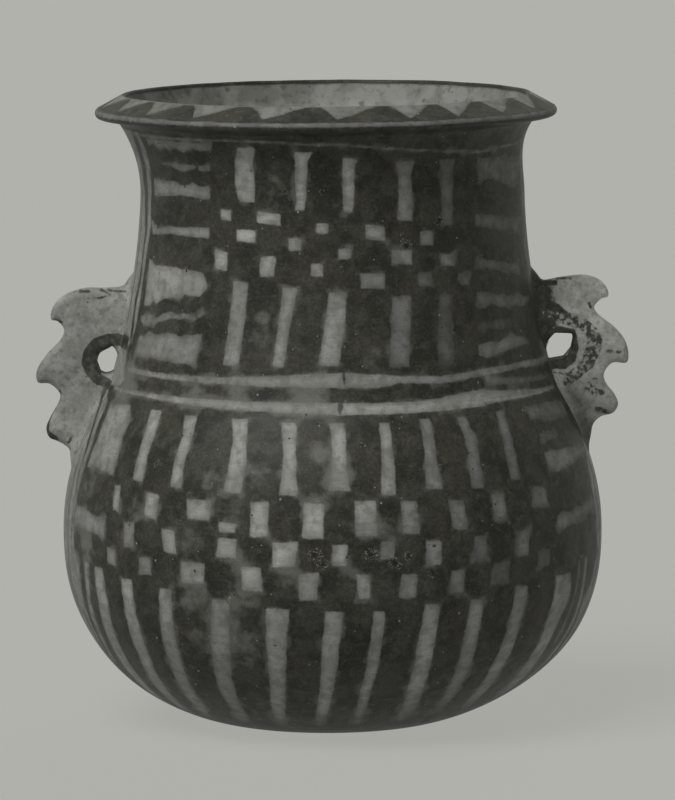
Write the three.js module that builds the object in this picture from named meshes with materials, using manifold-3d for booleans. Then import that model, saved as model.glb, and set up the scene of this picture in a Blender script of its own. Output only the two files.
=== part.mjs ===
// Hand-built painted earthenware jar: round belly, wide waisted neck, bevelled everted rim and two
// pierced lugs with a notched crest. Millimetres, +Z up. The origin is on the belly's axis at the
// resting face, the lugs stand at -X and +X, and the walls meet at bevelled lap seams, as the
// potter's sections do.
import * as THREE from 'three';
import { mergeVertices } from 'three/addons/utils/BufferGeometryUtils.js';
import Module from 'manifold-3d';

// Body, from the resting face up
const restRadius = 40; // flat disc that the jar stands on
const bellyRadius = 121.2;
const bellyHeight = 87.7;
const undersideRoundness = 1.63; // how far the underside swells outwards before it rises
const sideRoundness = 2.4; // how upright the side stands below the belly
const shoulderRise = 65.3; // from the belly to the crease at the neck's foot
const shoulderRoundness = 2;
const footShift = -2.7; // the resting disc lies a little off the belly's axis
const footShiftReach = 45;

// Neck, from the crease up
const creaseRadius = 100;
const waistRadius = 86.1;
const waistRise = 88; // from the crease to the waist
const neckSpread = 1.75; // how the neck widens down to the crease
const throatRadius = 92.2;
const throatRise = 29; // from the waist to the underside of the rim
const throatSpread = 3; // how the neck turns out below the rim
const rimShift = -3; // the mouth leans towards the left lug
const rimShiftReach = 32;
const rimTilt = 0.45; // degrees that the mouth rises towards the right lug

// Rim, from the throat up
const lipRadius = 103.5;
const lipRise = 5.6; // from the throat to the middle of the lip
const lipRound = 2.3;
const ridgeRadius = 89.6; // inner edge of the painted bevel
const ridgeRise = 13.7;
const ridgeRound = 1.3;
const mouthFlare = 24; // height over which the inside opens out to the ridge
const mouthBow = 0.35; // share of that opening reached halfway up
const lipStart = -75; // bearing on the lip's round, in degrees, where its underside begins

// Walls and the laps between the potter's sections
const wallThickness = 6.5;
const floorThickness = 8;
const lapRise = 5; // a lap climbs this much from its outer edge to its inner edge
const baseSeamRise = 42; // outer edge of the lap above the base
const bellySeamRise = 4; // outer edge of the lap above the belly's widest line
const rimSeamDrop = 5; // outer edge of the lap below the throat

// Lugs
const lugThickness = 13;
const crestThickness = 9;
const crestTaper = 0.6; // share of the full thickness left halfway out to the crest
const edgeRound = 3.2; // how deep the edges are rounded over
const edgeRoundShare = 0.45; // most of the crest's width that the rounding may take
const rootFlare = 3; // how much each face spreads where the lug meets the wall
const rootFlareReach = 15;
const lugClearance = 0.3;
const leftHoleRise = 10.4; // from the crease to the middle of the cord hole
const leftHoleOut = 3.7; // from the wall to the middle of the cord hole
const leftHoleWidth = 9.6;
const leftHoleHeight = 13;
const rightHoleRise = 16.5;
const rightHoleOut = 6.3;
const rightHoleWidth = 13.8;
const rightHoleHeight = 13.6;
const lugGrid = 1; // one step of the grid on which the lugs' strips are drawn

// Each lug is drawn from the wall's surface at the height of its cord hole. It is a strip bent round
// the hole, from the neck down to the shoulder. Each row is one place along the strip, in steps of
// the grid: how far its middle stands out and up, then how far its notched crest does.
const lugForms = [
  {
    name: 'lug_left',
    side: -1,
    hole: { rise: leftHoleRise, out: leftHoleOut, width: leftHoleWidth, height: leftHoleHeight },
    strip: [
      [-24, 3, -24, 38],
      [-14, 15, -6.8, 36.4],
      [-6, 20, -3, 33],
      [1, 22, 4.8, 32.2],
      [8, 22, 14.4, 32],
      [13.5, 21.5, 23.6, 28.7],
      [17, 20.5, 28.8, 22.7],
      [18.5, 19, 29.1, 17.8],
      [18.8, 17.6, 26.6, 17.4],
      [18.3, 15, 23.4, 13.6],
      [17.3, 10.5, 24.7, 9.3],
      [16.8, 5, 31.6, 1.8],
      [16.6, -1, 36, -5.8],
      [16.4, -4.5, 35.2, -10.4],
      [16, -8, 30, -11],
      [15.3, -12, 25.4, -15.4],
      [14.6, -15, 25.6, -18.4],
      [13.6, -18, 29.6, -25.9],
      [12.6, -20.5, 31.6, -31],
      [11.4, -22.5, 30.2, -35.3],
      [9.6, -24, 26, -37.1],
      [7.2, -25.5, 21.2, -40.3],
      [4, -27, 19.2, -45.8],
      [-3, -28, 8.8, -54],
      [-24, -10, -24, -54],
    ],
  },
  {
    name: 'lug_right',
    side: 1,
    hole: { rise: rightHoleRise, out: rightHoleOut, width: rightHoleWidth, height: rightHoleHeight },
    strip: [
      [-24, 3, -24, 36],
      [-12, 15, -5.6, 33],
      [-4, 20, -1.4, 29.6],
      [2, 22.5, 5, 30.7],
      [8.5, 23.5, 12, 31.7],
      [13.5, 23.5, 18.4, 31.8],
      [17, 23.2, 25, 29.2],
      [18.8, 22.8, 28, 24.6],
      [19, 22.4, 27.8, 22.1],
      [18.8, 21.5, 25.4, 21.6],
      [18, 18.5, 21.7, 17.6],
      [18, 15, 23.2, 14.6],
      [19, 10, 31.2, 8.2],
      [19.6, 5, 35.8, 2.2],
      [19.8, -0.5, 37.3, -4],
      [19.6, -3.5, 36.4, -7.5],
      [19.2, -6, 30, -7.6],
      [18.6, -10, 26.2, -12.6],
      [18.2, -13.5, 27.2, -16.8],
      [17.8, -16.5, 31, -21.8],
      [17.2, -19, 32.7, -26.2],
      [16.2, -21, 30.4, -30.2],
      [14.6, -22.5, 25.1, -31.8],
      [12.4, -24, 21.6, -35],
      [9, -26, 19.7, -41.8],
      [1, -28, 12, -52],
      [-24, -10, -24, -52],
    ],
  },
];

// Fineness of the faceting
const turnSteps = 56;
const undersideSteps = 14;
const shoulderSteps = 8;
const lowerNeckSteps = 8;
const upperNeckSteps = 6;
const lipSteps = 5;
const ridgeSteps = 4;
const mouthSteps = 4;
const stepsPerRow = 2;
const nearestPoint = 1; // points of an outline closer than this to its end are left out
const mergeReach = 1e-3;

// Heights worked out from the sizes above
const creaseHeight = bellyHeight + shoulderRise;
const waistHeight = creaseHeight + waistRise;
const throatHeight = waistHeight + throatRise;
const ridgeHeight = throatHeight + ridgeRise;
const seamHeights = {
  base: baseSeamRise,
  belly: bellyHeight + bellySeamRise,
  crease: creaseHeight,
  rim: throatHeight - rimSeamDrop,
};

const { lerp, smoothstep, degToRad } = THREE.MathUtils;

// Sideways lean of the jar's middle at a height
function middleAt(height) {
  const foot = footShift * (1 - smoothstep(height, 0, footShiftReach));
  const mouth = rimShift * smoothstep(height, throatHeight - rimShiftReach, throatHeight);
  return foot + mouth;
}

// How steeply a ring at a height climbs towards the right lug, full from below the rim's lap up
function climbAt(height) {
  return Math.tan(degToRad(rimTilt)) * smoothstep(height, waistHeight, seamHeights.rim);
}

// Outer outline from the edge of the resting disc up to the throat, as [radius, height] points
function outerOutline() {
  const points = [];
  for (let step = 0; step <= undersideSteps; step += 1) {
    const turn = degToRad((90 * step) / undersideSteps);
    const reach = Math.sin(turn) ** (2 / undersideRoundness);
    const rise = 1 - Math.max(Math.cos(turn), 0) ** (2 / sideRoundness);
    points.push([lerp(restRadius, bellyRadius, reach), bellyHeight * rise]);
  }
  for (let step = 1; step <= shoulderSteps; step += 1) {
    const share = step / shoulderSteps;
    const radius = lerp(bellyRadius, creaseRadius, share ** shoulderRoundness);
    points.push([radius, bellyHeight + shoulderRise * share]);
  }
  for (let step = 1; step <= lowerNeckSteps; step += 1) {
    const share = 1 - step / lowerNeckSteps;
    const radius = lerp(waistRadius, creaseRadius, share ** neckSpread);
    points.push([radius, waistHeight - waistRise * share]);
  }
  for (let step = 1; step <= upperNeckSteps; step += 1) {
    const share = step / upperNeckSteps;
    const radius = lerp(waistRadius, throatRadius, share ** throatSpread);
    points.push([radius, waistHeight + throatRise * share]);
  }
  return points;
}

// The same outline moved inwards by the wall's thickness, from the floor up
function innerOutline(outer) {
  const offset = outer.map(([radius, height], index) => {
    const before = outer[Math.max(index - 1, 0)];
    const after = outer[Math.min(index + 1, outer.length - 1)];
    const across = after[0] - before[0];
    const up = after[1] - before[1];
    const length = Math.hypot(across, up);
    return [radius - (wallThickness * up) / length, height + (wallThickness * across) / length];
  });
  const aboveFloor = offset.filter(([, height]) => height > floorThickness + nearestPoint);
  const floorEdge = pointAtHeight(offset, floorThickness);
  return [floorEdge, ...aboveFloor];
}

// The point of an outline at a height
function pointAtHeight(outline, height) {
  const index = outline.findIndex((point) => point[1] >= height);
  if (index <= 0) return [outline[0][0], height];
  const low = outline[index - 1];
  const high = outline[index];
  return [lerp(low[0], high[0], (height - low[1]) / (high[1] - low[1])), height];
}

// The stretch of an outline between two heights, both ends included
function stretch(outline, low, high) {
  const from = low + nearestPoint;
  const to = high - nearestPoint;
  const between = outline.filter(([, height]) => height > from && height < to);
  return [pointAtHeight(outline, low), ...between, pointAtHeight(outline, high)];
}

// Turns a mesh's loose triangles into a closed shell with shared corners
function closedShell(geometry) {
  geometry.deleteAttribute('normal');
  geometry.deleteAttribute('uv');
  const merged = mergeVertices(geometry, mergeReach);
  const corners = merged.getIndex().array;
  const kept = [];
  for (let at = 0; at < corners.length; at += 3) {
    const [a, b, c] = corners.slice(at, at + 3);
    if (a !== b && b !== c && c !== a) kept.push(a, b, c);
  }
  merged.setIndex(kept);
  return merged;
}

// Revolves a profile of [radius, height] points, listed anticlockwise, then leans and tilts it
function turned(profile) {
  const points = profile.map(([radius, height]) => new THREE.Vector2(radius, height));
  const shell = closedShell(new THREE.LatheGeometry(points, turnSteps).rotateX(Math.PI / 2));
  const positions = shell.getAttribute('position');
  for (let index = 0; index < positions.count; index += 1) {
    const height = positions.getZ(index);
    positions.setZ(index, height + positions.getX(index) * climbAt(height));
    positions.setX(index, positions.getX(index) + middleAt(height));
  }
  return shell;
}

const outer = outerOutline();
const inner = innerOutline(outer);

// A section of wall between two laps
function wallSection(lowSeam, highSeam) {
  const outside = stretch(outer, lowSeam, highSeam);
  const inside = stretch(inner, lowSeam + lapRise, highSeam + lapRise).reverse();
  return turned([...outside, ...inside, outside[0]]);
}

function baseSection() {
  const outside = [[restRadius, 0], ...stretch(outer, 0, seamHeights.base).slice(1)];
  const inside = stretch(inner, floorThickness, seamHeights.base + lapRise).reverse();
  return turned([[0, 0], ...outside, ...inside, [0, floorThickness]]);
}

// Points on an arc round a centre, from one bearing to another
function arc(centreRadius, centreHeight, round, fromBearing, toBearing, steps) {
  return Array.from({ length: steps + 1 }, (unused, step) => {
    const bearing = degToRad(lerp(fromBearing, toBearing, step / steps));
    return [centreRadius + round * Math.cos(bearing), centreHeight + round * Math.sin(bearing)];
  });
}

function rimSection() {
  const outside = stretch(outer, seamHeights.rim, throatHeight);
  const lipHeight = throatHeight + lipRise;
  const bevelRun = lipRadius - lipRound - (ridgeRadius + ridgeRound);
  const bevelFall = ridgeHeight - ridgeRound - lipHeight;
  const bevelBearing = 90 - THREE.MathUtils.radToDeg(Math.atan2(bevelFall, bevelRun));
  const lip = arc(lipRadius - lipRound, lipHeight, lipRound, lipStart, bevelBearing, lipSteps);
  const ridgeMiddle = [ridgeRadius + ridgeRound, ridgeHeight - ridgeRound];
  const ridge = arc(...ridgeMiddle, ridgeRound, bevelBearing, 180, ridgeSteps);
  const throatEdge = pointAtHeight(inner, seamHeights.rim + lapRise);
  const mouth = new THREE.QuadraticBezierCurve(
    new THREE.Vector2(ridgeRadius, ridgeHeight - ridgeRound),
    new THREE.Vector2(lerp(throatEdge[0], ridgeRadius, mouthBow), ridgeHeight - mouthFlare / 2),
    new THREE.Vector2(...throatEdge),
  );
  const inside = mouth.getPoints(mouthSteps).slice(1).map((point) => [point.x, point.y]);
  return turned([...outside, ...lip, ...ridge, ...inside, outside[0]]);
}

// Solids are joined and cut as manifolds
const wasm = await Module();
wasm.setup();

function asManifold(shell) {
  const vertProperties = new Float32Array(shell.getAttribute('position').array);
  const triVerts = new Uint32Array(shell.getIndex().array);
  return new wasm.Manifold(new wasm.Mesh({ numProp: 3, vertProperties, triVerts }));
}

function asGeometry(manifold) {
  const mesh = manifold.getMesh();
  const geometry = new THREE.BufferGeometry();
  geometry.setAttribute('position', new THREE.BufferAttribute(mesh.vertProperties, 3));
  geometry.setIndex(new THREE.BufferAttribute(mesh.triVerts, 1));
  return geometry;
}

// The jar filled to its outer surface and grown by the lugs' clearance
function wallCutter() {
  const swollen = outer.map(([radius, height]) => [radius + lugClearance, height]);
  return asManifold(turned([[0, 0], ...swollen, [0, throatHeight]]));
}

// A smooth line through rows of points, with the same number of steps between any two rows
function smoothLine(rows) {
  const points = rows.map(([out, up]) => new THREE.Vector3(out * lugGrid, up * lugGrid, 0));
  const curve = new THREE.CatmullRomCurve3(points, false, 'centripetal');
  return curve.getPoints((rows.length - 1) * stepsPerRow);
}

// One closed section of a lug, from the cord hole's edge to the crest and back
function lugSection(hole, middle, tip) {
  const bearing = Math.atan2(middle.y, middle.x - hole.out);
  const holeEdge = (grown) => [
    hole.out + (hole.width / 2 + grown) * Math.cos(bearing),
    (hole.height / 2 + grown) * Math.sin(bearing),
  ];
  const tipRound = Math.min(edgeRound / tip.distanceTo(middle), edgeRoundShare);
  const edgeSpan = Math.hypot(middle.x - holeEdge(0)[0], middle.y - holeEdge(0)[1]);
  const halfway = lerp(edgeRound, edgeSpan, 0.5);
  const inwards = (share) => [lerp(tip.x, middle.x, share), lerp(tip.y, middle.y, share)];
  const [quarterIn, quarterHigh] = [0.25, Math.sqrt(1 - 0.75 ** 2)]; // a point on a round edge
  const front = [
    [holeEdge(quarterIn * edgeRound), quarterHigh * lugThickness],
    [holeEdge(edgeRound), lugThickness],
    [holeEdge(halfway), lugThickness],
    [[middle.x, middle.y], lugThickness],
    [inwards(lerp(tipRound, 1, 0.5)), lerp(crestThickness, lugThickness, crestTaper)],
    [inwards(tipRound), crestThickness],
    [inwards(quarterIn * tipRound), quarterHigh * crestThickness],
  ].map(([place, thickness]) => [...place, thickness / 2 + spreadAtWall(place, hole)]);
  const back = front.map(([out, up, half]) => [out, up, -half]).reverse();
  return [[...holeEdge(0), 0], ...front, [tip.x, tip.y, 0], ...back];
}

// Where a lug is drawn from: the wall's surface at the height of its cord hole
function lugStart(hole) {
  return pointAtHeight(outer, creaseHeight + hole.rise);
}

// Extra thickness of a lug's face close to the wall
function spreadAtWall([out, up], hole) {
  const [startRadius, startHeight] = lugStart(hole);
  const clear = startRadius + out - pointAtHeight(outer, startHeight + up)[0];
  return rootFlare * (1 - Math.min(Math.max(clear / rootFlareReach, 0), 1)) ** 2;
}

// Lofts the sections of a lug and trims the lug to the wall that carries it
function lug({ side, hole, strip }, cutter) {
  const middles = smoothLine(strip.map(([out, up]) => [out, up]));
  const tips = smoothLine(strip.map(([, , out, up]) => [out, up]));
  const sections = middles.map((middle, index) => lugSection(hole, middle, tips[index]));
  const ring = sections[0].length;
  const [startRadius, startHeight] = lugStart(hole);
  const corners = sections.flat().map(([out, up, half]) => [
    side * (startRadius + out),
    side * half,
    startHeight + up,
  ]);
  const faces = [];
  for (let section = 0; section + 1 < sections.length; section += 1) {
    for (let place = 0; place < ring; place += 1) {
      const a = section * ring + place;
      const b = section * ring + ((place + 1) % ring);
      faces.push([a, b, b + ring], [a, b + ring, a + ring]);
    }
  }
  const last = corners.length - ring;
  for (let place = 1; place + 1 < ring; place += 1) {
    faces.push([0, place + 1, place], [last, last + place, last + place + 1]);
  }
  const shell = new THREE.BufferGeometry();
  shell.setAttribute('position', new THREE.Float32BufferAttribute(corners.flat(), 3));
  shell.setIndex(faces.flat());
  return asGeometry(asManifold(shell).subtract(cutter));
}

const clay = (color, roughness) => new THREE.MeshStandardMaterial({ color, roughness, metalness: 0 });

const jar = new THREE.Group();
jar.name = 'jar';

function add(name, geometry, material) {
  const mesh = new THREE.Mesh(geometry, material);
  mesh.name = name;
  geometry.computeVertexNormals();
  jar.add(mesh);
}

add('base', baseSection(), clay(0x37372f, 0.5));
add('lower_wall', wallSection(seamHeights.base, seamHeights.belly), clay(0x4a4b44, 0.48));
add('shoulder', wallSection(seamHeights.belly, seamHeights.crease), clay(0x5a5b54, 0.46));
add('neck', wallSection(seamHeights.crease, seamHeights.rim), clay(0x45463f, 0.46));
add('rim', rimSection(), clay(0x73746d, 0.5));

const cutter = wallCutter();
for (const form of lugForms) {
  add(form.name, lug(form, cutter), clay(0x80817a, 0.6));
}

export default jar;
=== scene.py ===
import math
import random

import bmesh
import bpy
import numpy as np
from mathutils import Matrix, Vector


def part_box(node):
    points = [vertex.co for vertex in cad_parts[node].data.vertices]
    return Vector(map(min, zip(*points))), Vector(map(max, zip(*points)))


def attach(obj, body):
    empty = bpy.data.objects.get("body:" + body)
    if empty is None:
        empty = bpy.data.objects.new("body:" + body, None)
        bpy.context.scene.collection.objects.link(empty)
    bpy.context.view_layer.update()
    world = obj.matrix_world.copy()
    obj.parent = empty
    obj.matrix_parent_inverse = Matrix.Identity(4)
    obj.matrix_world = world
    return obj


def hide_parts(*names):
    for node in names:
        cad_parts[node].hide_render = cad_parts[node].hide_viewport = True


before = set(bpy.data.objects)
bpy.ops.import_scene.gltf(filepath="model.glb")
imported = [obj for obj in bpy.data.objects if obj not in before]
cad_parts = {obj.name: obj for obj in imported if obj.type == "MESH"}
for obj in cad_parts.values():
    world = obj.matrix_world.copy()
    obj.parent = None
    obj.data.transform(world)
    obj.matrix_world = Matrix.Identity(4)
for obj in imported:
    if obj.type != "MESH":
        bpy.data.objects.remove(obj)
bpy.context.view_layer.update()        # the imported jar: seven clay pieces on one body
mm = 0.001               # the shapes below are drawn in millimetres, Blender's are in metres


# Camera, floor and light

view = {  # how the jar is seen; distances in m, angles in degrees
    "lens": 325.95,
    "sensor": 36,
    "aside": 0.0022,
    "back": 3.24,
    "height": 0.50085,
    "pitch": 6.27,
    "farthest": 200,
}

studio = {
    "floorSize": 60,             # m, so that the floor fills low views too
    "tone": (0.475, 0.476, 0.444),
    "floorGlow": 0.8,            # share of the floor's tone that the shadow doesn't take away
    "floorBounce": 0.55,         # how pale the floor is to the light that it throws back
    "suns": {  # strength, degrees round from the front and up, and whether the slip mirrors it
        "key": (2.05, -38, 53, True),
        "back": (0.7, 158, 28, False),     # for the side that the photograph doesn't show
    },
    "sunSpread": 40,             # degrees that the soft light spans
    "roomLight": 0.04,
    "roomSeen": 0.934,           # strength at which the room shows as the floor does
}


def addObject(name, data):
    made = bpy.data.objects.new(name, data)
    bpy.context.scene.collection.objects.link(made)
    return made


def addCamera():
    camera = addObject("camera", bpy.data.cameras.new("camera"))
    camera.data.lens = view["lens"]
    camera.data.sensor_width = view["sensor"]
    camera.data.clip_end = view["farthest"]
    camera.location = (view["aside"], -view["back"], view["height"])
    camera.rotation_euler = (math.radians(90 - view["pitch"]), 0, 0)
    bpy.context.scene.camera = camera


def addNode(tree, kind, inputs=(), **settings):
    node = tree.nodes.new(kind)
    for name, value in settings.items():
        setattr(node, name, value)
    for name, value in dict(inputs).items():      # a value is a plain one or a socket to join
        if isinstance(value, bpy.types.NodeSocket):
            tree.links.new(value, node.inputs[name])
        else:
            node.inputs[name].default_value = value
    return node


def maths(tree, operation, *values):
    # one operation, or a chain of it from left to right over three values or more
    result = addNode(tree, "ShaderNodeMath", enumerate(values[:2]), operation=operation).outputs[0]
    return maths(tree, operation, result, *values[2:]) if len(values) > 2 else result


def plus(tree, *values):
    return maths(tree, "ADD", *values)


def times(tree, *values):
    return maths(tree, "MULTIPLY", *values)


def newMaterial(name):
    material = bpy.data.materials.new(name)
    material.use_nodes = True
    material.node_tree.nodes.clear()
    return material, material.node_tree


def shownOver(tree, dim, shown):
    # one surface for the rays that show the floor or the room, another for those that carry its light
    rays = addNode(tree, "ShaderNodeLightPath").outputs
    kinds = (rays["Is " + kind + " Ray"] for kind in ("Camera", "Glossy", "Transmission"))
    straight = maths(tree, "MAXIMUM", *kinds)
    return addNode(tree, "ShaderNodeMixShader", {0: straight, 1: dim, 2: shown}).outputs[0]


def floorMaterial():
    material, tree = newMaterial("studio_floor")
    tone = (*studio["tone"], 1)
    bounce = (studio["floorBounce"],) * 3 + (1,)
    lit = addNode(tree, "ShaderNodeBsdfDiffuse", {"Color": tone}).outputs[0]
    glow = addNode(tree, "ShaderNodeEmission", {"Color": tone}).outputs[0]
    shown = addNode(tree, "ShaderNodeMixShader", {0: studio["floorGlow"], 1: lit, 2: glow}).outputs[0]
    dim = addNode(tree, "ShaderNodeBsdfDiffuse", {"Color": bounce}).outputs[0]
    addNode(tree, "ShaderNodeOutputMaterial", {"Surface": shownOver(tree, dim, shown)})
    return material


def addFloor():
    half = studio["floorSize"] / 2
    corners = [(-half, -half, 0), (half, -half, 0), (half, half, 0), (-half, half, 0)]
    mesh = bpy.data.meshes.new("floor")
    mesh.from_pydata(corners, [], [(0, 1, 2, 3)])
    mesh.materials.append(floorMaterial())
    addObject("floor", mesh)


def addSun(name, strength, azimuth, elevation, shiny):
    light = bpy.data.lights.new(name, "SUN")
    light.energy = strength
    light.angle = math.radians(studio["sunSpread"])
    lamp = addObject(name, light)
    lamp.rotation_euler = (math.radians(90 - elevation), 0, math.radians(azimuth))
    lamp.visible_glossy = shiny


def addRoom():
    world = bpy.data.worlds.new("room")
    world.use_nodes = True
    tree = world.node_tree
    tree.nodes.clear()
    white, tone = (1, 1, 1, 1), (*studio["tone"], 1)
    lights = ((white, studio["roomLight"]), (tone, studio["roomSeen"]))
    dim, shown = (addNode(tree, "ShaderNodeBackground", {"Color": colour, "Strength": strength}).outputs[0]
                  for colour, strength in lights)
    addNode(tree, "ShaderNodeOutputWorld", {"Surface": shownOver(tree, dim, shown)})
    bpy.context.scene.world = world


bpy.context.scene.view_settings.view_transform = "Standard"
addCamera()
addFloor()
for sun, numbers in studio["suns"].items():
    addSun(sun, *numbers)
addRoom()
print("camera, floor and lights set")


# The jar's outline: radius and height along the outer wall, from the resting disc up to the throat

jar = {  # mm
    "restRadius": 40,
    "bellyRadius": 121.2,
    "bellyHeight": 87.7,
    "undersideRoundness": 1.63,
    "sideRoundness": 2.4,
    "shoulderRise": 65.3,
    "creaseRadius": 100,
    "creaseSoftness": 5,
    "waistRadius": 86.1,
    "waistRise": 88,
    "neckSpread": 1.75,
    "throatRadius": 92.2,
    "throatRise": 29,
    "throatSpread": 3,
    "wall": 6.5,
    "floor": 8,
    "lapRise": 5,
    "fineness": 500,     # points along each curve of the line
    "creaseSteps": 40,
}

rim = {  # mm
    "lipRadius": 103.5,
    "lipRise": 5.6,
    "lipRound": 2.3,
    "ridgeRadius": 89.6,
    "ridgeRise": 13.7,
    "ridgeRound": 1.3,
    "mouthFlare": 24,
    "mouthBow": 0.35,
    "lipStart": -75,           # bearing at which the lip's round starts, under it
    "underBend": (93.6, 272),  # radius and height towards which the line under the lip bends
}

creaseHeight = jar["bellyHeight"] + jar["shoulderRise"]
waistHeight = creaseHeight + jar["waistRise"]
throatHeight = waistHeight + jar["throatRise"]
seams = {name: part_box(name)[0].z / mm for name in ("lower_wall", "shoulder", "neck", "rim")}


def mixed(low, high, share):
    return low + (high - low) * share


def eased(value, low, high):
    share = np.clip((value - low) / (high - low), 0, 1)
    return share * share * (3 - 2 * share)


def bezier(points, steps):
    share = np.linspace(0, 1, steps + 1)[:, None]
    start, control, end = np.array(points, float)
    return (1 - share) ** 2 * start + 2 * share * (1 - share) * control + share ** 2 * end


def outerLine():
    turn = np.linspace(0, math.pi / 2, jar["fineness"])
    share = np.linspace(0, 1, jar["fineness"])[1:]
    reach = np.sin(turn) ** (2 / jar["undersideRoundness"])
    climb = 1 - np.clip(np.cos(turn), 0, 1) ** (2 / jar["sideRoundness"])
    under = np.c_[mixed(jar["restRadius"], jar["bellyRadius"], reach), jar["bellyHeight"] * climb]
    shoulder = np.c_[mixed(jar["bellyRadius"], jar["creaseRadius"], share ** 2),
                     jar["bellyHeight"] + jar["shoulderRise"] * share]
    lowerNeck = np.c_[mixed(jar["waistRadius"], jar["creaseRadius"], (1 - share) ** jar["neckSpread"]),
                      creaseHeight + jar["waistRise"] * share]
    upperNeck = np.c_[mixed(jar["waistRadius"], jar["throatRadius"], share ** jar["throatSpread"]),
                      waistHeight + jar["throatRise"] * share]
    line = np.concatenate([under, shoulder, lowerNeck, upperNeck])
    low, high = creaseHeight - jar["creaseSoftness"], creaseHeight + jar["creaseSoftness"]
    edges = [(np.interp(at, line[:, 1], line[:, 0]), at) for at in (low, high)]
    corner = (jar["creaseRadius"], creaseHeight)
    below, above = line[line[:, 1] < low], line[line[:, 1] > high]
    return np.concatenate([below, bezier([edges[0], corner, edges[1]], jar["creaseSteps"]), above])


outer = outerLine()
along = np.r_[0, np.cumsum(np.hypot(*np.diff(outer, axis=0).T))]    # mm along the wall at each point
slope = np.gradient(outer, axis=0)
outwards = np.c_[slope[:, 1], -slope[:, 0]] / np.hypot(*slope.T)[:, None]
inner = outer - jar["wall"] * outwards


def alongAt(height):
    return np.interp(height, outer[:, 1], along)


def lineAt(line, height):
    return np.array([np.interp(height, line[:, 1], line[:, 0]), height])


def stretch(line, low, high, spacing):
    # evenly spaced points of a line between two heights, both ends included
    ends = [lineAt(line, low), lineAt(line, high)]
    part = np.concatenate([ends[:1], line[(line[:, 1] > low) & (line[:, 1] < high)], ends[1:]])
    run = np.r_[0, np.cumsum(np.hypot(*np.diff(part, axis=0).T))]
    even = np.linspace(0, run[-1], max(int(round(run[-1] / spacing)), 1) + 1)
    return np.c_[np.interp(even, run, part[:, 0]), np.interp(even, run, part[:, 1])]


def joined(*parts):
    # one closed section from parts that start where the last one ended
    return np.concatenate([part[:-1] for part in parts])


mesh = {  # mm between rows of points
    "outside": 1.35,
    "inside": 3,
    "lap": 2.2,
    "bevel": 1.1,
    "around": 600,     # points around the jar
    "underSteps": 9,   # points along the line under the lip, and so on
    "lipSteps": 10,
    "ridgeSteps": 6,
    "mouthSteps": 14,
    "near": 0.01,      # mm within which two heights are the same
    "tiny": 0.00003,   # mm within which two places of a line are the same
}


def between(start, end, spacing):
    steps = max(int(round(math.dist(start, end) / spacing)), 1)
    return np.linspace(start, end, steps + 1)


def wallSection(lowSeam, highSeam):
    outside = stretch(outer, lowSeam, highSeam, mesh["outside"])
    inside = stretch(inner, lowSeam + jar["lapRise"], highSeam + jar["lapRise"], mesh["inside"])[::-1]
    topLap = between(outside[-1], inside[0], mesh["lap"])
    lowLap = between(inside[-1], outside[0], mesh["lap"])
    return joined(outside, topLap, inside, lowLap)


def baseSection():
    outside = stretch(outer, 0, seams["lower_wall"], mesh["outside"])
    inside = stretch(inner, jar["floor"], seams["lower_wall"] + jar["lapRise"], mesh["inside"])[::-1]
    foot = between((0, 0), outside[0], mesh["inside"])
    lap = between(outside[-1], inside[0], mesh["lap"])
    dish = between(inside[-1], (0, jar["floor"]), mesh["inside"])
    return np.concatenate([joined(foot, outside, lap, inside, dish), dish[-1:]])


def arc(centre, reach, fromBearing, toBearing, steps):
    bearing = np.radians(np.linspace(fromBearing, toBearing, steps + 1))
    return np.array(centre) + reach * np.c_[np.cos(bearing), np.sin(bearing)]


def rimSection():
    neckTop = stretch(outer, seams["rim"], throatHeight, mesh["outside"])
    ridgeHeight = throatHeight + rim["ridgeRise"]
    lipCentre = (rim["lipRadius"] - rim["lipRound"], throatHeight + rim["lipRise"])
    ridgeCentre = (rim["ridgeRadius"] + rim["ridgeRound"], ridgeHeight - rim["ridgeRound"])
    fall = math.degrees(math.atan2(ridgeCentre[1] - lipCentre[1], lipCentre[0] - ridgeCentre[0]))
    lip = arc(lipCentre, rim["lipRound"], rim["lipStart"], 90 - fall, mesh["lipSteps"])
    ridge = arc(ridgeCentre, rim["ridgeRound"], 90 - fall, 180, mesh["ridgeSteps"])
    under = bezier([neckTop[-1], rim["underBend"], lip[0]], mesh["underSteps"])
    bevel = between(lip[-1], ridge[0], mesh["bevel"])
    throatEdge = lineAt(inner, seams["rim"] + jar["lapRise"])
    bow = mixed(throatEdge[0], rim["ridgeRadius"], rim["mouthBow"])
    bend = (bow, ridgeHeight - rim["mouthFlare"] / 2)
    mouth = bezier([ridge[-1], bend, throatEdge], mesh["mouthSteps"])
    lap = between(throatEdge, neckTop[0], mesh["lap"])
    return joined(neckTop, under, lip, bevel, ridge, mouth, lap)


# The turned walls: one section, swept once round by geometry nodes, then leaned and swayed

turning = {
    "footShift": -2.7,        # mm that the resting disc lies off the belly's axis
    "footShiftReach": 45,
    "mouthShift": -3,         # mm that the mouth leans towards the left lug
    "mouthShiftReach": 32,
    "tilt": 0.45,             # degrees that the mouth rises towards the right lug
    "sway": 0.7,              # mm of the potter's unevenness, always inwards
    "swaySize": 55,           # mm across one swell
    "dab": 0.22,              # mm of the smaller marks of hands and burnisher
    "dabSize": 14,
    "calm": (14, 42),         # mm from the lugs' middle plane where the sway starts and is full
    "calmFoot": 12,           # mm above the foot where the sway is full
    "lipWave": 0.8,           # mm that the lip waves up and down
    "lipWaves": 3.2,          # how close the lip's waves follow each other
    "lipWaveRise": 4,         # mm above the throat where the wave is full
    "seed": 7,
    "sharpEdge": 40,          # degrees between faces past which an edge stays sharp
    "closing": (10, 45),      # mm behind and degrees round that tell where the sweep's ends were merged
    "merged": 0.001,          # mm within which the sweep's ends become one
}


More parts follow.
